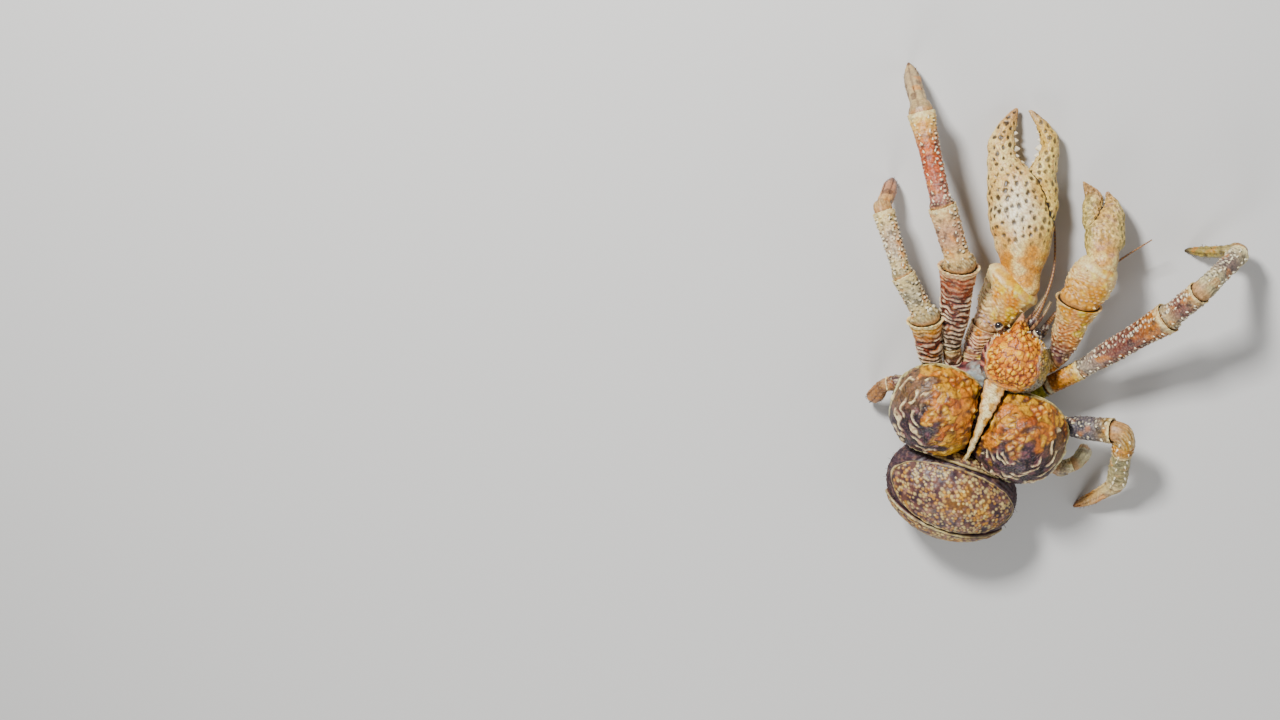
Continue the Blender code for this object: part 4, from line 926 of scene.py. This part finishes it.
def length_shape(start, before, end, neck_before, neck_after, sizes, lean, tip, flare, swell,
                 domed):
    """The shape of one length of a leg, as turned_ball asks for it."""
    axis = (end - start).normalized()
    side, lift = across(axis)
    length = (end - start).length - neck_after - (GAP / 2 if neck_after else 0)
    back = axis.rotation_difference(before) if before else None
    half = axis.rotation_difference((axis + before).normalized()) if before else None
    sides = [back @ side, half @ side, side] if before else [side] * 3
    lifts = [back @ lift, half @ lift, lift] if before else [lift] * 3
    face = start - (before or axis) * max(neck_before, 0.001)

    def shape(share, angle):
        along = np.clip((share - ROOT) / (RIM - ROOT), 0, 1)
        run = neck_before + (length - neck_before) * along
        bow = BOW * np.sin(math.pi * along) if tip else 0 * along
        centre = (np.array(start) + run[:, None] * np.array(axis)
                  + bow[:, None] * np.array(lift) + (lean * along)[:, None] * np.array(side))
        bend = np.clip((share / ROOT - 0.3) / 0.7, 0, 1)[:, None]
        elbow_end = np.array(start + axis * neck_before)
        elbow = ((1 - bend) ** 2 * np.array(face) + 2 * bend * (1 - bend) * np.array(start)
                 + bend ** 2 * elbow_end)
        dome = np.clip(1 - share / ROOT / 0.3, 0, 1)[:, None]
        elbow = elbow - np.array(before or axis) * 0.003 * dome
        centre = np.where((share < ROOT)[:, None], elbow, centre)
        if domed:
            factor = np.interp(share, DOME_SHARES, (1, 1.01, 0.98, 0.93, 0.83, 0.64, 0))
            reach = np.interp(share, DOME_SHARES,
                              (0, 0.0004, 0.0025, 0.0050, 0.0080, 0.0100, 0.0105))
            centre += np.array(axis) * reach[:, None]
        elif tip:
            close = np.clip((share - RIM) / (1 - RIM), 0, 1)
            centre += np.array(axis) * (close * sizes[2][0])[:, None]
            factor = np.sqrt(np.clip(1 - close ** 2, 0, 1))
        else:
            factor = np.interp(share, (RIM - 0.05, RIM, 0.94, 0.955, 0.97, 0.985, 1.0),
                               (1, 1 + flare * 0.6, 1 + flare, 1 + flare * 0.5, 0.93, 0.88, 0))
            reach = np.interp(share, (RIM, 0.94, 0.955, 0.97, 0.985, 1.0),
                              (0, 0.0006, 0.0009, 0.0003, -0.0020, -0.0030))
            centre += np.array(axis) * reach[:, None]
        factor = factor * np.interp(share / ROOT, (0, 0.05, 0.12, 0.2, 0.3, 0.6, 1.0),
                                    (0, 0.45, 0.72, 0.88, 0.95, 1.0, 1.0))
        cross = [np.stack([np.interp(bend[:, 0], (0, 0.5, 1), [way[k] for way in ways])
                           for k in range(3)], 1) for ways in (sides, lifts)]
        half = sizes_along(*sizes, along) * factor[:, None]
        half *= 1 + (np.array(swell) - 1) * (1 - ramp(share / ROOT, 0.6, 1.7))[:, None]
        points = (centre + cross[0] * (half[:, 0] * np.cos(angle))[:, None]
                  + cross[1] * (half[:, 1] * np.sin(angle))[:, None]) + origin
        points[:, 2] = np.maximum(points[:, 2], 0.0)
        return points
    return shape, length - neck_before


def knuckle_swell(socket, root):
    """How much a root is widened so that it nearly fills the socket it turns in."""
    return np.maximum(1, np.array(socket) * KNUCKLE / np.array(root))


def lengths_of(name, limb):
    """Every length of a limb: its part's name, its shape, how long it is and its axis."""
    bends, ways = [Vector(limb["hip"])], []
    for _, length, heading, rise, *_ in limb["segments"]:
        ways.append(direction(heading, rise))
        bends.append(bends[-1] + ways[-1] * length)
    roots = [segment[4] for segment in limb["segments"]]
    if "hand" in limb:
        ways.append(direction(*limb["hand"]))
        roots.append(limb["palm"][0][2:])
    necks = [0.0] + [neck_length(max(roots[k]), ways[k - 1], ways[k]) for k in range(1, len(ways))]
    necks.append(0.0)
    made = []
    for k, (part, _, _, _, *sizes) in enumerate(limb["segments"]):
        swell = knuckle_swell(limb["segments"][k - 1][-1], sizes[0]) if k else (1, 1)
        shape, run = length_shape(bends[k], ways[k - 1] if k else None, bends[k + 1], necks[k],
                                  necks[k + 1], sizes, LEAN_OF.get(f"{name}_{part}", 0.0),
                                  k == len(ways) - 1, FLARE.get(f"{name}_{part}", PLAIN_FLARE),
                                  swell, f"{name}_{part}" in DOMED)
        made.append((part, shape, run, ways[k]))
    return made, bends[-1], ways, necks


def bars(points, axis, pitch, squeeze, seed):
    """Short bars set across a length, unevenly: distances to a crest and to the slit
    behind it, and which bar it is."""
    way = np.array(axis)
    squeezed = points + np.outer(points @ way, way) * (squeeze - 1)
    seeds = scattered(squeezed, pitch, seed)
    crest, _, owner = cells(squeezed, seeds)
    slit, _, _ = cells(squeezed + way * pitch * 0.52, seeds)
    return crest, slit, owner


def along_length(share):
    """How far along a length each point is, and 1 on its body, 0 in the joints at its ends."""
    along = np.clip((share - ROOT) / (RIM - ROOT), 0, 1)
    return along, ramp(share, ROOT * 0.5, ROOT * 0.85) * (1 - ramp(along, 0.93, 1.0))


def joint_skin_and_shade(share, dark):
    """The paint of a root in its socket: soft skin, and painted shade where it goes in."""
    return ((JOINT_SKIN, (1 - ramp(share, ROOT * 0.45, ROOT * 0.70)) * 0.8),
            (dark, (1 - ramp(share, ROOT * 0.20, ROOT * 0.40)) * 0.9))


def along_edges(points, angle, body, crests, half_width, spacing, seed):
    """Points for spines in loose rows, at a few angles round a length."""
    near = np.abs(np.degrees(angle) - np.array(crests)[:, None]).min(0) < half_width
    return nearest(points, scattered(points[near & (body > 0.9)], spacing, seed))


# The walking legs. The upper lengths are crossed by close ridges fringed with
# pale scales, dark below each ridge by their own colour and a painted shadow; the
# next two carry rows of white beads and spines along their upper edges with slits
# between, dark by their own colour and painted shade, and the last is a plain
# horn-coloured claw with a darker tip and short stiff hairs. Left and right legs
# differ in tone.
WALKING = {
    "leg_2_left": {"hip": (-0.042, 0.034, 0.042), "segments": (
        ("ischium", 0.037, -24, 20, (0.009, 0.010), (0.009, 0.011), (0.010, 0.011)),
        ("merus", 0.113, -15, 23, (0.009, 0.010), (0.016, 0.013), (0.021, 0.015)),
        ("carpus", 0.067, -36, -2, (0.013, 0.012), (0.014, 0.013), (0.015, 0.013)),
        ("propodus", 0.104, -33, -19, (0.010, 0.010), (0.011, 0.010), (0.015, 0.011)),
        ("dactylus", 0.076, -40, -58, (0.009, 0.009), (0.009, 0.008), (0.002, 0.002)))},
    "leg_3_left": {"hip": (-0.044, 0.012, 0.041), "segments": (
        ("ischium", 0.034, -46, 15, (0.009, 0.009), (0.009, 0.010), (0.009, 0.010)),
        ("merus", 0.073, -26, 26, (0.010, 0.009), (0.014, 0.012), (0.019, 0.013)),
        ("carpus", 0.053, -47, -2, (0.012, 0.011), (0.012, 0.011), (0.013, 0.011)),
        ("propodus", 0.075, -38, -22, (0.009, 0.009), (0.010, 0.009), (0.012, 0.010)),
        ("dactylus", 0.058, 6, -67, (0.008, 0.008), (0.008, 0.007), (0.002, 0.002)))},
    "leg_4_left": {"hip": (-0.036, -0.012, 0.038), "segments": (
        ("merus", 0.061, -74, 10, (0.009, 0.008), (0.010, 0.008), (0.010, 0.008)),
        ("carpus", 0.019, -122, -12, (0.008, 0.008), (0.008, 0.008), (0.008, 0.008)),
        ("chela", 0.047, -169, -46, (0.007, 0.007), (0.009, 0.006), (0.002, 0.002)))},
    "leg_2_right": {"hip": (0.044, 0.036, 0.042), "segments": (
        ("ischium", 0.067, 40, 8, (0.010, 0.010), (0.010, 0.011), (0.011, 0.011)),
        ("merus", 0.122, 32, 20, (0.009, 0.010), (0.013, 0.013), (0.017, 0.016)),
        ("carpus", 0.057, 23, 23, (0.012, 0.012), (0.012, 0.013), (0.013, 0.013)),
        ("propodus", 0.093, 47, -59, (0.010, 0.010), (0.010, 0.010), (0.011, 0.011)),
        ("dactylus", 0.068, -118, -33, (0.008, 0.008), (0.006, 0.007), (0.002, 0.002)))},
    "leg_3_right": {"hip": (0.042, 0.013, 0.041), "segments": (
        ("ischium", 0.053, 83, 10, (0.009, 0.009), (0.010, 0.010), (0.010, 0.010)),
        ("merus", 0.070, 68, 24, (0.010, 0.010), (0.013, 0.012), (0.014, 0.013)),
        ("carpus", 0.034, 167, -25, (0.011, 0.011), (0.012, 0.011), (0.011, 0.011)),
        ("propodus", 0.058, 165, -36, (0.010, 0.010), (0.011, 0.010), (0.011, 0.010)),
        ("dactylus", 0.065, -149, -29, (0.009, 0.008), (0.007, 0.006), (0.002, 0.002)))},
    "leg_4_right": {"hip": (0.036, -0.010, 0.040), "segments": (
        ("merus", 0.073, 107, 4, (0.009, 0.008), (0.011, 0.008), (0.011, 0.008)),
        ("carpus", 0.021, 48, 0, (0.008, 0.008), (0.008, 0.008), (0.008, 0.008)),
        ("chela", 0.036, 34, -72, (0.008, 0.007), (0.009, 0.006), (0.003, 0.003)))},
}
# Root, middle and rim colour of each length, its dark colour, its style, and how
# strongly its bars show.
LEG_LOOKS = {
    "leg_2_left_ischium": ("6a3a3c", "8a4a3c", "c9a878", "3a2028", "ridged", 1.0),
    "leg_2_left_merus": ("9a8272", "8a3426", "c05a28", "25131a", "ridged", 1.0),
    "leg_2_left_carpus": ("dcb880", "c89c80", "e0c090", "34202c", "barred", 1.0),
    "leg_2_left_propodus": ("b87868", "c45e3c", "e4c480", "2c1a24", "barred", 1.2),
    "leg_2_left_dactylus": ("c8b088", "bca484", "d0b080", "6a4636", "horn", 0.0),
    "leg_3_left_ischium": ("6a3a3c", "8a4a3c", "c9a878", "3a2028", "ridged", 1.0),
    "leg_3_left_merus": ("a89a8c", "a0402c", "dca848", "24161a", "ridged", 1.0),
    "leg_3_left_carpus": ("ccb484", "b4a88c", "d4c090", "2e2424", "barred", 1.1),
    "leg_3_left_propodus": ("ccb88c", "c0a890", "e0c890", "30242a", "barred", 1.1),
    "leg_3_left_dactylus": ("dcb07c", "c89478", "8a5240", "5a3028", "horn", 0.0),
    "leg_4_left_merus": ("6e4a58", "7a5a68", "c49a70", "34222e", "barred", 0.5),
    "leg_4_left_carpus": ("8a5a50", "b07a4e", "c49a70", "34222e", "plain", 0.4),
    "leg_4_left_chela": ("b07a4e", "c0885a", "caa47a", "4a2e30", "horn", 0.0),
    "leg_2_right_ischium": ("a8623c", "d0843a", "e4b85e", "5a2e28", "plain", 0.5),
    "leg_2_right_merus": ("a89c90", "8c5048", "c47c34", "2c1420", "barred", 1.2),
    "leg_2_right_carpus": ("c0a884", "94645c", "c8a474", "2c1422", "barred", 1.2),
    "leg_2_right_propodus": ("d0c49c", "8c7470", "d4c8a4", "33222a", "barred", 1.0),
    "leg_2_right_dactylus": ("b9a878", "a8965c", "8e7c4c", "4a3c28", "horn", 0.0),
    "leg_3_right_ischium": ("6a5064", "74606e", "a08c94", "30222e", "plain", 0.5),
    "leg_3_right_merus": ("4e4858", "6e6672", "a8864e", "221a26", "barred", 0.6),
    "leg_3_right_carpus": ("d8a24a", "c8904a", "ccb080", "5a3828", "barred", 0.6),
    "leg_3_right_propodus": ("b8ae84", "b4a67c", "c8b890", "5c5238", "barred", 0.45),
    "leg_3_right_dactylus": ("cdbb90", "d8b07c", "d08c50", "8a5c38", "horn", 0.0),
    "leg_4_right_merus": ("6e5060", "8c7078", "b8a098", "34222e", "barred", 0.5),
    "leg_4_right_carpus": ("b09c84", "c8bc9c", "d8d0ac", "4a3a34", "plain", 0.4),
    "leg_4_right_chela": ("dcd4b0", "e2dabc", "e8e0cc", "6a5a4c", "horn", 0.0),
}
RIM_CREAM = "ecdcb0"
BEAD_WHITE = "f2ead2"
# How much the bars show along the middle, and how much weaker one edge is.
BAR_SPREAD = {"leg_2_left": (0.12, 0.65), "leg_3_left": (0.55, 0.3)}
RIDGE_PITCH = 0.0066
BAR_PITCH = 0.0058
LEG_GRIT = 0.0026
LEG_ROW = 0.0007
SPINE_SPACING = 0.0085
TIP_HAIRS = 70
leg_shell = shell_finish("leg_shell", grain=1100, mottle=0.42, relief=0.45, rough=(0.36, 0.60),
                         coat=0.05)
horn_shell = shell_finish("horn_tip", grain=1300, mottle=0.25, relief=0.2, rough=(0.36, 0.56),
                          coat=0.06)
seed = 100
for name, limb in WALKING.items():
    for part, shape, run, axis in lengths_of(name, limb)[0]:
        seed += 1
        title = f"{name}_{part}"
        root, middle, rim, dark, style, strength = LEG_LOOKS[title]
        rows = int(np.clip(run / LEG_ROW, 70, 170))
        piece, share, angle = turned_ball(f"{title}_shell", 84, rows, shape)
        points = points_of(piece)
        along, body = along_length(share)
        upper = ramp(np.sin(angle), -0.45, 0.25)
        flank = ramp(np.abs(np.cos(angle)), 0.30, 0.75)
        near_grit, _, _ = cells(points, scattered(points, LEG_GRIT, seed + 40))
        grit = ramp(-near_grit, -0.0013, -0.0003) * (0.6 if style == "horn" else 1.0)
        height = waves(points, 0.005, seed + 30) * 0.00030 + grit * 0.00032
        colour = mixed(
            root, (middle, ramp(along, 0.0, 0.45)), (rim, ramp(along, 0.55, 1.0)),
            (dark, ramp(waves(points, 0.011, seed), 0.35, 1.3) * 0.6),
            ("e09048", ramp(waves(points, 0.016, seed + 7), 0.5, 1.3) * 0.5),
            (RIM_CREAM, grit * 0.22))
        if style == "ridged":
            saw = (along * run / RIDGE_PITCH + 0.35 * waves(points, 0.018, seed + 60)
                   + 0.35 * np.cos(angle)) % 1.0
            fade = 0.45 + 0.55 * ramp(-along, -0.75, -0.60)
            broken = ramp(waves(points, 0.009, seed + 90), -0.8, -0.3) * fade
            crest = ramp(saw, 0.30, 0.55) * (1 - ramp(saw, 0.80, 0.95)) * broken
            shadowed_ditch = (1 - ramp(saw, 0.08, 0.30)) * fade ** 1.5
            height += (crest * 0.0013 - shadowed_ditch * 0.0006) * body * (0.45 + 0.55 * upper)
            # The dark in the ditch below each ridge is partly the shell's own colour and partly a
            # painted shadow under the ridge.
            colour = mixed(
                colour, (dark, shadowed_ditch * body * 0.95),
                ("f0e2c8", crest * body * (0.55 + 0.4 * flank)))
        if title == "leg_2_right_ischium":
            inner = 1 - ramp(along, 0.34, 0.38)
            colour = mixed(
                colour, ("a8a04a", inner),
                ("d8ccb0", ramp(along, 0.37, 0.39) * (1 - ramp(along, 0.44, 0.48))),
                ("2c1c18", ramp(-np.abs(along - 0.345), -0.025, -0.010)))
            height -= ramp(-np.abs(along - 0.345), -0.03, 0) * 0.0012
        if style in ("barred", "plain"):
            crest, slit, owner = bars(points, axis, BAR_PITCH, 1.7, seed)
            draw = np.random.default_rng(seed + 200)
            wide = draw.uniform(0.45, 1.15, owner.max() + 1)[owner]
            least, favoured = BAR_SPREAD.get(name, (0.12, 0.0))
            weaker = ramp(-np.cos(angle) * np.sign(favoured), -0.2, 0.4)
            flank = flank * (1 - np.abs(favoured) * weaker)
            show = np.clip((least + 0.95 * flank) * strength, 0, 1.2) * body
            show *= 0.55 + 0.45 * ramp(waves(points, 0.014, seed + 70), -0.9, 0.3)
            wide = wide * (0.75 + 0.40 * flank)
            crest = ramp(-crest / wide, -0.0025, -0.0014)
            slit = ramp(-slit / wide, -0.0026, -0.0013) * (1 - crest)
            height += (crest * 0.0011 - slit * 0.0007) * show
            # The dark in the slits behind the bars is partly the shell's own colour and partly
            # painted shade.
            colour = mixed(
                colour, (dark, slit * show * (0.7 + 0.3 * upper)),
                (BEAD_WHITE, crest * show * (0.45 + 0.5 * upper) * 0.9))
        if style == "horn":
            ribs = np.cos(angle * 6)
            height += ribs * 0.0003 * body
            colour = mixed(
                colour, (dark, ramp(along, 0.86, 1.0) * 0.8),
                (dark, ramp(-ribs, 0.4, 1.0) * body * 0.35))
        else:
            uneven = 0.6 + 0.4 * ramp(waves(points, 0.006, seed + 80), -0.6, 0.4)
            edge = ramp(along, 0.92, 0.98) * uneven
            colour = mixed(colour, (RIM_CREAM, edge * 0.85))
        # Painted shade inside the folded-in far rim.
        inner = ramp(share, 0.965, 0.985) * (style != "horn")
        # Painted shade near the root, where it turns in the socket; the cream grit there is the
        # shell's own.
        socket_shade = 1 - ramp(share + 0.01 * waves(points, 0.006, seed + 50), ROOT * 0.7, ROOT * 1.5)
        colour = mixed(colour, (dark, inner * 0.8), (dark, socket_shade * 0.35),
                       (RIM_CREAM, socket_shade * grit * 0.5), *joint_skin_and_shade(share, dark))
        push(piece, height)
        paint(piece, colour)
        points = points_of(piece)
        draw = np.random.default_rng(seed)
        if style == "barred":
            chosen = along_edges(points, angle, body, (62, 122), 9, SPINE_SPACING, seed)
            plant(piece, thorn("leg_spine", 0.0014, 0.0034, 0.5, 6, 4), points[chosen],
                  normals_of(piece)[chosen] + np.array(axis) * 0.5,
                  draw.uniform(0.7, 1.1, len(chosen)), BEAD_WHITE, axis)
        if style == "horn" and run > 0.03:
            lower = np.nonzero((body > 0.9) & (np.abs(ribs + 1) < 0.08) & (along > 0.15))[0]
            chosen = draw.choice(lower, min(len(lower), TIP_HAIRS), replace=False)
            plant(piece, thorn("tip_hair", 0.00022, 0.0026, 0.5, 4, 4), points[chosen],
                  normals_of(piece)[chosen], draw.uniform(0.6, 1.1, len(chosen)),
                  "5a3c2c", axis)
        finish, slot = (horn_shell, "tip_shell") if style == "horn" else (leg_shell, "leg_shell")
        fit(piece, finish, slot, title)

# The claws: the left is much the larger, cream with dark brown pits in uneven rows,
# orange at the wrist, its fingers armed with blunt white teeth. The right is slim
# and bent, orange between cream edges. Palm and fixed finger are one casting, the
# movable finger sits in its own socket along a seam, with painted shade on the palm
# where the finger lies close.
CLAWS = {
    "claw_left": {"hip": (-0.024, 0.048, 0.043), "hand": (-21, -15), "segments": (
        ("ischium", 0.020, -14, 6, (0.012, 0.012), (0.013, 0.012), (0.013, 0.013)),
        ("merus", 0.034, 2, 9, (0.013, 0.013), (0.016, 0.015), (0.017, 0.016)),
        ("carpus", 0.062, 20, 8, (0.015, 0.015), (0.026, 0.020), (0.033, 0.021))),
        "palm": ((0.010, 0.000, 0.018, 0.015), (0.022, 0.000, 0.0235, 0.019),
                 (0.042, 0.000, 0.030, 0.022), (0.066, -0.001, 0.0355, 0.023),
                 (0.092, -0.001, 0.0360, 0.022), (0.112, -0.005, 0.032, 0.020),
                 (0.127, -0.015, 0.021, 0.017), (0.137, -0.021, 0.0155, 0.0145),
                 (0.153, -0.021, 0.0145, 0.013), (0.169, -0.016, 0.011, 0.010),
                 (0.182, -0.009, 0.006, 0.006), (0.189, -0.004, 0.002, 0.002)),
        "finger": ((0.064, 0.029, 0.004, 0.006), (0.080, 0.029, 0.009, 0.012),
                   (0.098, 0.026, 0.012, 0.014), (0.114, 0.022, 0.015, 0.015),
                   (0.126, 0.0235, 0.0145, 0.014), (0.140, 0.029, 0.0110, 0.013),
                   (0.154, 0.031, 0.0100, 0.012), (0.168, 0.0255, 0.0078, 0.009),
                   (0.180, 0.017, 0.005, 0.005), (0.186, 0.011, 0.002, 0.002)),
        "teeth": ((0.131, 0.0030), (0.138, 0.0046), (0.146, 0.0060), (0.155, 0.0046),
                  (0.163, 0.0036), (0.171, 0.0026)),
        "inward": 1, "points": (240, 250), "pits": 0.0070},
    "claw_right": {"hip": (0.034, 0.066, 0.044), "hand": (-17, -42), "segments": (
        ("ischium", 0.036, 44, 10, (0.011, 0.011), (0.012, 0.012), (0.012, 0.012)),
        ("merus", 0.076, -3, 15, (0.010, 0.011), (0.017, 0.016), (0.025, 0.019)),
        ("carpus", 0.048, 9, 4, (0.019, 0.016), (0.025, 0.020), (0.023, 0.018))),
        "palm": ((0.012, 0.000, 0.017, 0.014), (0.024, 0.002, 0.0215, 0.016),
                 (0.038, 0.002, 0.0215, 0.017), (0.050, 0.005, 0.0180, 0.015),
                 (0.062, 0.007, 0.0145, 0.013), (0.069, 0.0088, 0.0100, 0.011),
                 (0.075, 0.0085, 0.0070, 0.008), (0.080, 0.0065, 0.0042, 0.005),
                 (0.0845, 0.0045, 0.0015, 0.002)),
        "finger": ((0.036, -0.013, 0.005, 0.006), (0.046, -0.0125, 0.009, 0.010),
                   (0.058, -0.0115, 0.0102, 0.011), (0.068, -0.0112, 0.0106, 0.010),
                   (0.080, -0.0115, 0.0096, 0.008), (0.089, -0.0145, 0.0068, 0.006),
                   (0.097, -0.0210, 0.0018, 0.002)),
        "teeth": ((0.068, 0.0020), (0.074, 0.0022), (0.079, 0.0018)),
        "inward": -1, "points": (160, 180), "pits": 0.0052},
}
ARM_LOOKS = {
    "claw_left_ischium": ("7a4c50", "aa7068", "c8988c", "3a1c28"),
    "claw_left_merus": ("b07a70", "cc9488", "d8a88c", "4a2830"),
    "claw_left_carpus": ("d4ac84", "dcbc84", "e0b468", "6a4238"),
    "claw_right_ischium": ("5e3a4c", "7a5058", "a87a5a", "382230"),
    "claw_right_merus": ("74444c", "b86c34", "d09440", "4a2020"),
    "claw_right_carpus": ("d89c50", "dca458", "dcc08c", "7a4a30"),
}
ARM_PITCH = 0.0050
ARM_SPINE_SPACING = 0.011
SPECK = 0.0034
PIT_SQUEEZE = 0.25
claw_shell = shell_finish("claw_shell", grain=900, mottle=0.38, relief=0.40, rough=(0.34, 0.56),
                          coat=0.08)
for name, limb in CLAWS.items():
    lengths, wrist, ways, necks = lengths_of(name, limb)
    big = name == "claw_left"
    for part, shape, run, axis in lengths:
        seed += 1
        title = f"{name}_{part}"
        root, middle, rim, dark = ARM_LOOKS[title]
        piece, share, angle = turned_ball(f"{title}_shell", 120, 120, shape)
        points = points_of(piece)
        along, body = along_length(share)
        crest, _, _ = bars(points, axis, ARM_PITCH, 1.3, seed)
        knob = ramp(-crest, -0.0024, -0.0006)
        turn = (along * run / ARM_PITCH + 0.6 * waves(points, 0.02, seed + 1)
                - 0.5 * np.cos(angle)) % 1.0
        ridge = ramp(turn, 0.3, 0.6) * (1 - ramp(turn, 0.80, 0.98))
        inner_side = ramp(-np.cos(angle) + 0.3 * waves(points, 0.02, seed + 4), -0.2, 0.5)
        carpus = part == "carpus"
        ridged = inner_side * (1 - ramp(along, 0.7, 0.9)) if carpus else 1 - ramp(along, 0.7, 0.95)
        ridged *= 1.0 if big else 0.5
        warm = (1 - inner_side) * ramp(along, 0.12, 0.35) * (1.0 if big or not carpus else 0.55)
        pale = ramp(np.abs(np.cos(angle)) + 0.15 * waves(points, 0.012, seed + 9), 0.62, 0.92)
        lilac = knob * ramp(-along, -0.22, -0.14) * ramp(along, 0.02, 0.05) * (1.0 if big else 0.4)
        lip = ramp(share, 0.895, 0.915) * (1 - ramp(share, 0.935, 0.955))
        lip *= ramp(waves(points, 0.007, seed + 8), -0.9, 0.2)
        # The dark band before each ridge is partly the shell's own colour and partly a painted
        # shadow under the ridge; the dark inside the far rim is painted shade.
        colour = mixed(
            root, (middle, ramp(along, 0.0, 0.45)), (rim, ramp(along, 0.5, 0.95)),
            ("dc8a28", warm * ramp(waves(points, 0.02, seed + 2), -0.7, 0.6) * 0.8),
            ("e4cc60", warm * ramp(waves(points, 0.014, seed + 5), 0.0, 0.8) * 0.8),
            ("e8d4a4", pale * ramp(along, 0.15, 0.4) * 0.75),
            ("f0d4ac", ridge * ridged * body * 0.6),
            ("f2dcae", knob * body * 0.45),
            (dark, ramp(-turn, -0.26, -0.04) * ridged * body * 0.75),
            ("c4aec4", lilac * 0.9),
            (RIM_CREAM, lip * 0.75),
            (dark, ramp(share, 0.965, 0.98) * (0.0 if carpus else 0.8)),
            *joint_skin_and_shade(share, dark))
        push(piece, (knob * 0.0007 + ridge * ridged * 0.0010 + lilac * 0.0008) * body
             + waves(points, 0.012, seed + 3) * 0.0006 * body)
        paint(piece, colour)
        if part != "ischium":
            points = points_of(piece)
            chosen = along_edges(points, angle, body, (40, 130), 10, ARM_SPINE_SPACING, seed)
            plant(piece, thorn("arm_spine", 0.0017, 0.0032, 0.4, 6, 4), points[chosen],
                  normals_of(piece)[chosen] + np.array(axis) * 0.4, 1.0, "e4d0a0", axis)
        fit(piece, claw_shell, "claw_shell", title)

    axis, before, neck = ways[-1], ways[-2], necks[-2]
    side, lift = across(axis)
    palm_rows, finger_rows = (
        [(*(BODY + wrist + axis * along + side * shift), *side, *lift, wide, deep)
         for along, shift, wide, deep in limb[cast]] for cast in ("palm", "finger"))
    turn_back = axis.rotation_difference(before)
    turn_half = axis.rotation_difference((axis + before).normalized())
    knuckle_rows = [(*(BODY + place), *(turn @ side), *(turn @ lift), *limb["palm"][0][2:])
                    for place, turn in ((wrist - before * (neck + 0.002), turn_back),
                                        (wrist, turn_half))]
    finger, _, _ = turned_ball(f"{name}_movable_finger", 120, 170, drawn_out(finger_rows, 0.04))
    palm, _, _ = turned_ball(f"{name}_palm", *limb["points"],
                             drawn_out(knuckle_rows + palm_rows, 0.03))
    finger_points = points_of(finger)
    longest = limb["palm"][-1][0]
    for piece, other, stations, facing in ((palm, finger_points[::3], "palm", limb["inward"]),
                                           (finger, None, "finger", -limb["inward"])):
        points = points_of(piece)
        from_wrist = points - np.array(BODY + wrist)
        along = from_wrist @ np.array(axis) / longest
        rise = from_wrist @ np.array(lift)
        shift = from_wrist @ np.array(side)
        pits = scattered(points, limb["pits"], seed + 5)
        draw = np.random.default_rng(seed)
        way = np.array(axis)
        squeezed = points - np.outer(from_wrist @ way, way) * PIT_SQUEEZE
        pits = pits - np.outer((pits - np.array(BODY + wrist)) @ way, way) * PIT_SQUEEZE
        first, _, owner = cells(squeezed + 0.0006 * waves(points, 0.004, 8)[:, None], pits)
        wide = draw.uniform(0.75, 1.40, len(pits))[owner]
        pit = ramp(-first / wide, -0.0024, -0.0014)
        pit *= ramp(rise, -0.008, -0.002) * ramp(along, 0.12, 0.30)
        if big:
            pit *= 1 - 0.15 * ramp(shift, 0.006, 0.016)
        specks = scattered(points, SPECK, seed + 6)
        near_speck, next_speck, owner = cells(points, specks)
        bump = ramp(next_speck - near_speck, 0, 0.0016)
        speck = ramp(-near_speck, -0.0009, -0.0004) * (draw.uniform(size=len(specks))[owner] > 0.55)
        # Painted shade on the palm where the movable finger lies close.
        shaded_seam = np.zeros(len(points))
        if other is not None:
            near, _, _ = cells(points, other)
            shaded_seam = ramp(-near, -0.0030, -0.0012)
        wrist_part = 1 - ramp(along + 0.05 * waves(points, 0.02, 16), 0.12, 0.36)
        base = mixed("f0d8a0", ("e2bc7c", 0.5 + 0.6 * waves(points, 0.024, 12)))
        if big:
            # A whitish painted highlight along the middle of the palm's back.
            middle = ramp(-np.abs(along - 0.42) - np.abs(shift + 0.006) * 9, -0.30, -0.05)
            base = mixed(
                base, ("f4ecd8", middle * 0.80),
                ("d88c38", wrist_part * ramp(waves(points, 0.02, 13), -0.9, 0.4) * 0.8),
                ("e0c468", ramp(shift, 0.012, 0.030) * 0.4))
        else:
            core = (ramp(-np.abs(shift - 0.003), -0.016, -0.006)
                    * ramp(waves(points, 0.018, 14), -0.7, 0.4))
            edges = ramp(np.abs(shift - 0.002) + 0.002 * waves(points, 0.009, 17), 0.010, 0.018)
            base = mixed(
                base, ("d8a468", core * (0.35 + 0.6 * wrist_part)),
                ("c4b878", edges * 0.6),
                ("d0a49c", ramp(waves(points, 0.012, 18), 0.3, 1.1) * (1 - edges) * 0.45))
        # The last coat is painted shade, darkening the underside.
        base = mixed(
            base, ("b88468", ramp(along, 0.86, 1.0) * 0.6),
            ("b08c64", (1 - bump) * 0.45),
            ("8a6040", speck * 0.5),
            ("4e3a20", pit * (0.90 if big else 0.40)),
            ("2a1814", shaded_seam * 0.95),
            ("7a4e3c", ramp(-rise, 0.006, 0.020) * 0.4))
        push(piece, bump * 0.0004 - pit * 0.0009 - shaded_seam * 0.0009 + waves(points, 0.02, 15) * 0.0007)
        paint(piece, base)
        rows = np.array(limb[stations])
        roots, sizes = [], []
        for reach_to, size in limb["teeth"]:
            spot = [np.interp(reach_to, rows[:, 0], rows[:, k]) for k in (1, 2)]
            roots.append(np.array(BODY + wrist + axis * reach_to
                                  + side * (spot[0] + facing * (spot[1] - 0.001))))
            sizes.append(size)
        plant(piece, thorn("tooth", 0.80, 1.0, 0.0, 12, 7), roots,
              [np.array(side * facing)] * len(roots), sizes, "efe6d2", axis)
    fit(palm, claw_shell, "claw_shell", f"{name}_propodus")
    fit(finger, claw_shell, "claw_shell", f"{name}_dactylus")
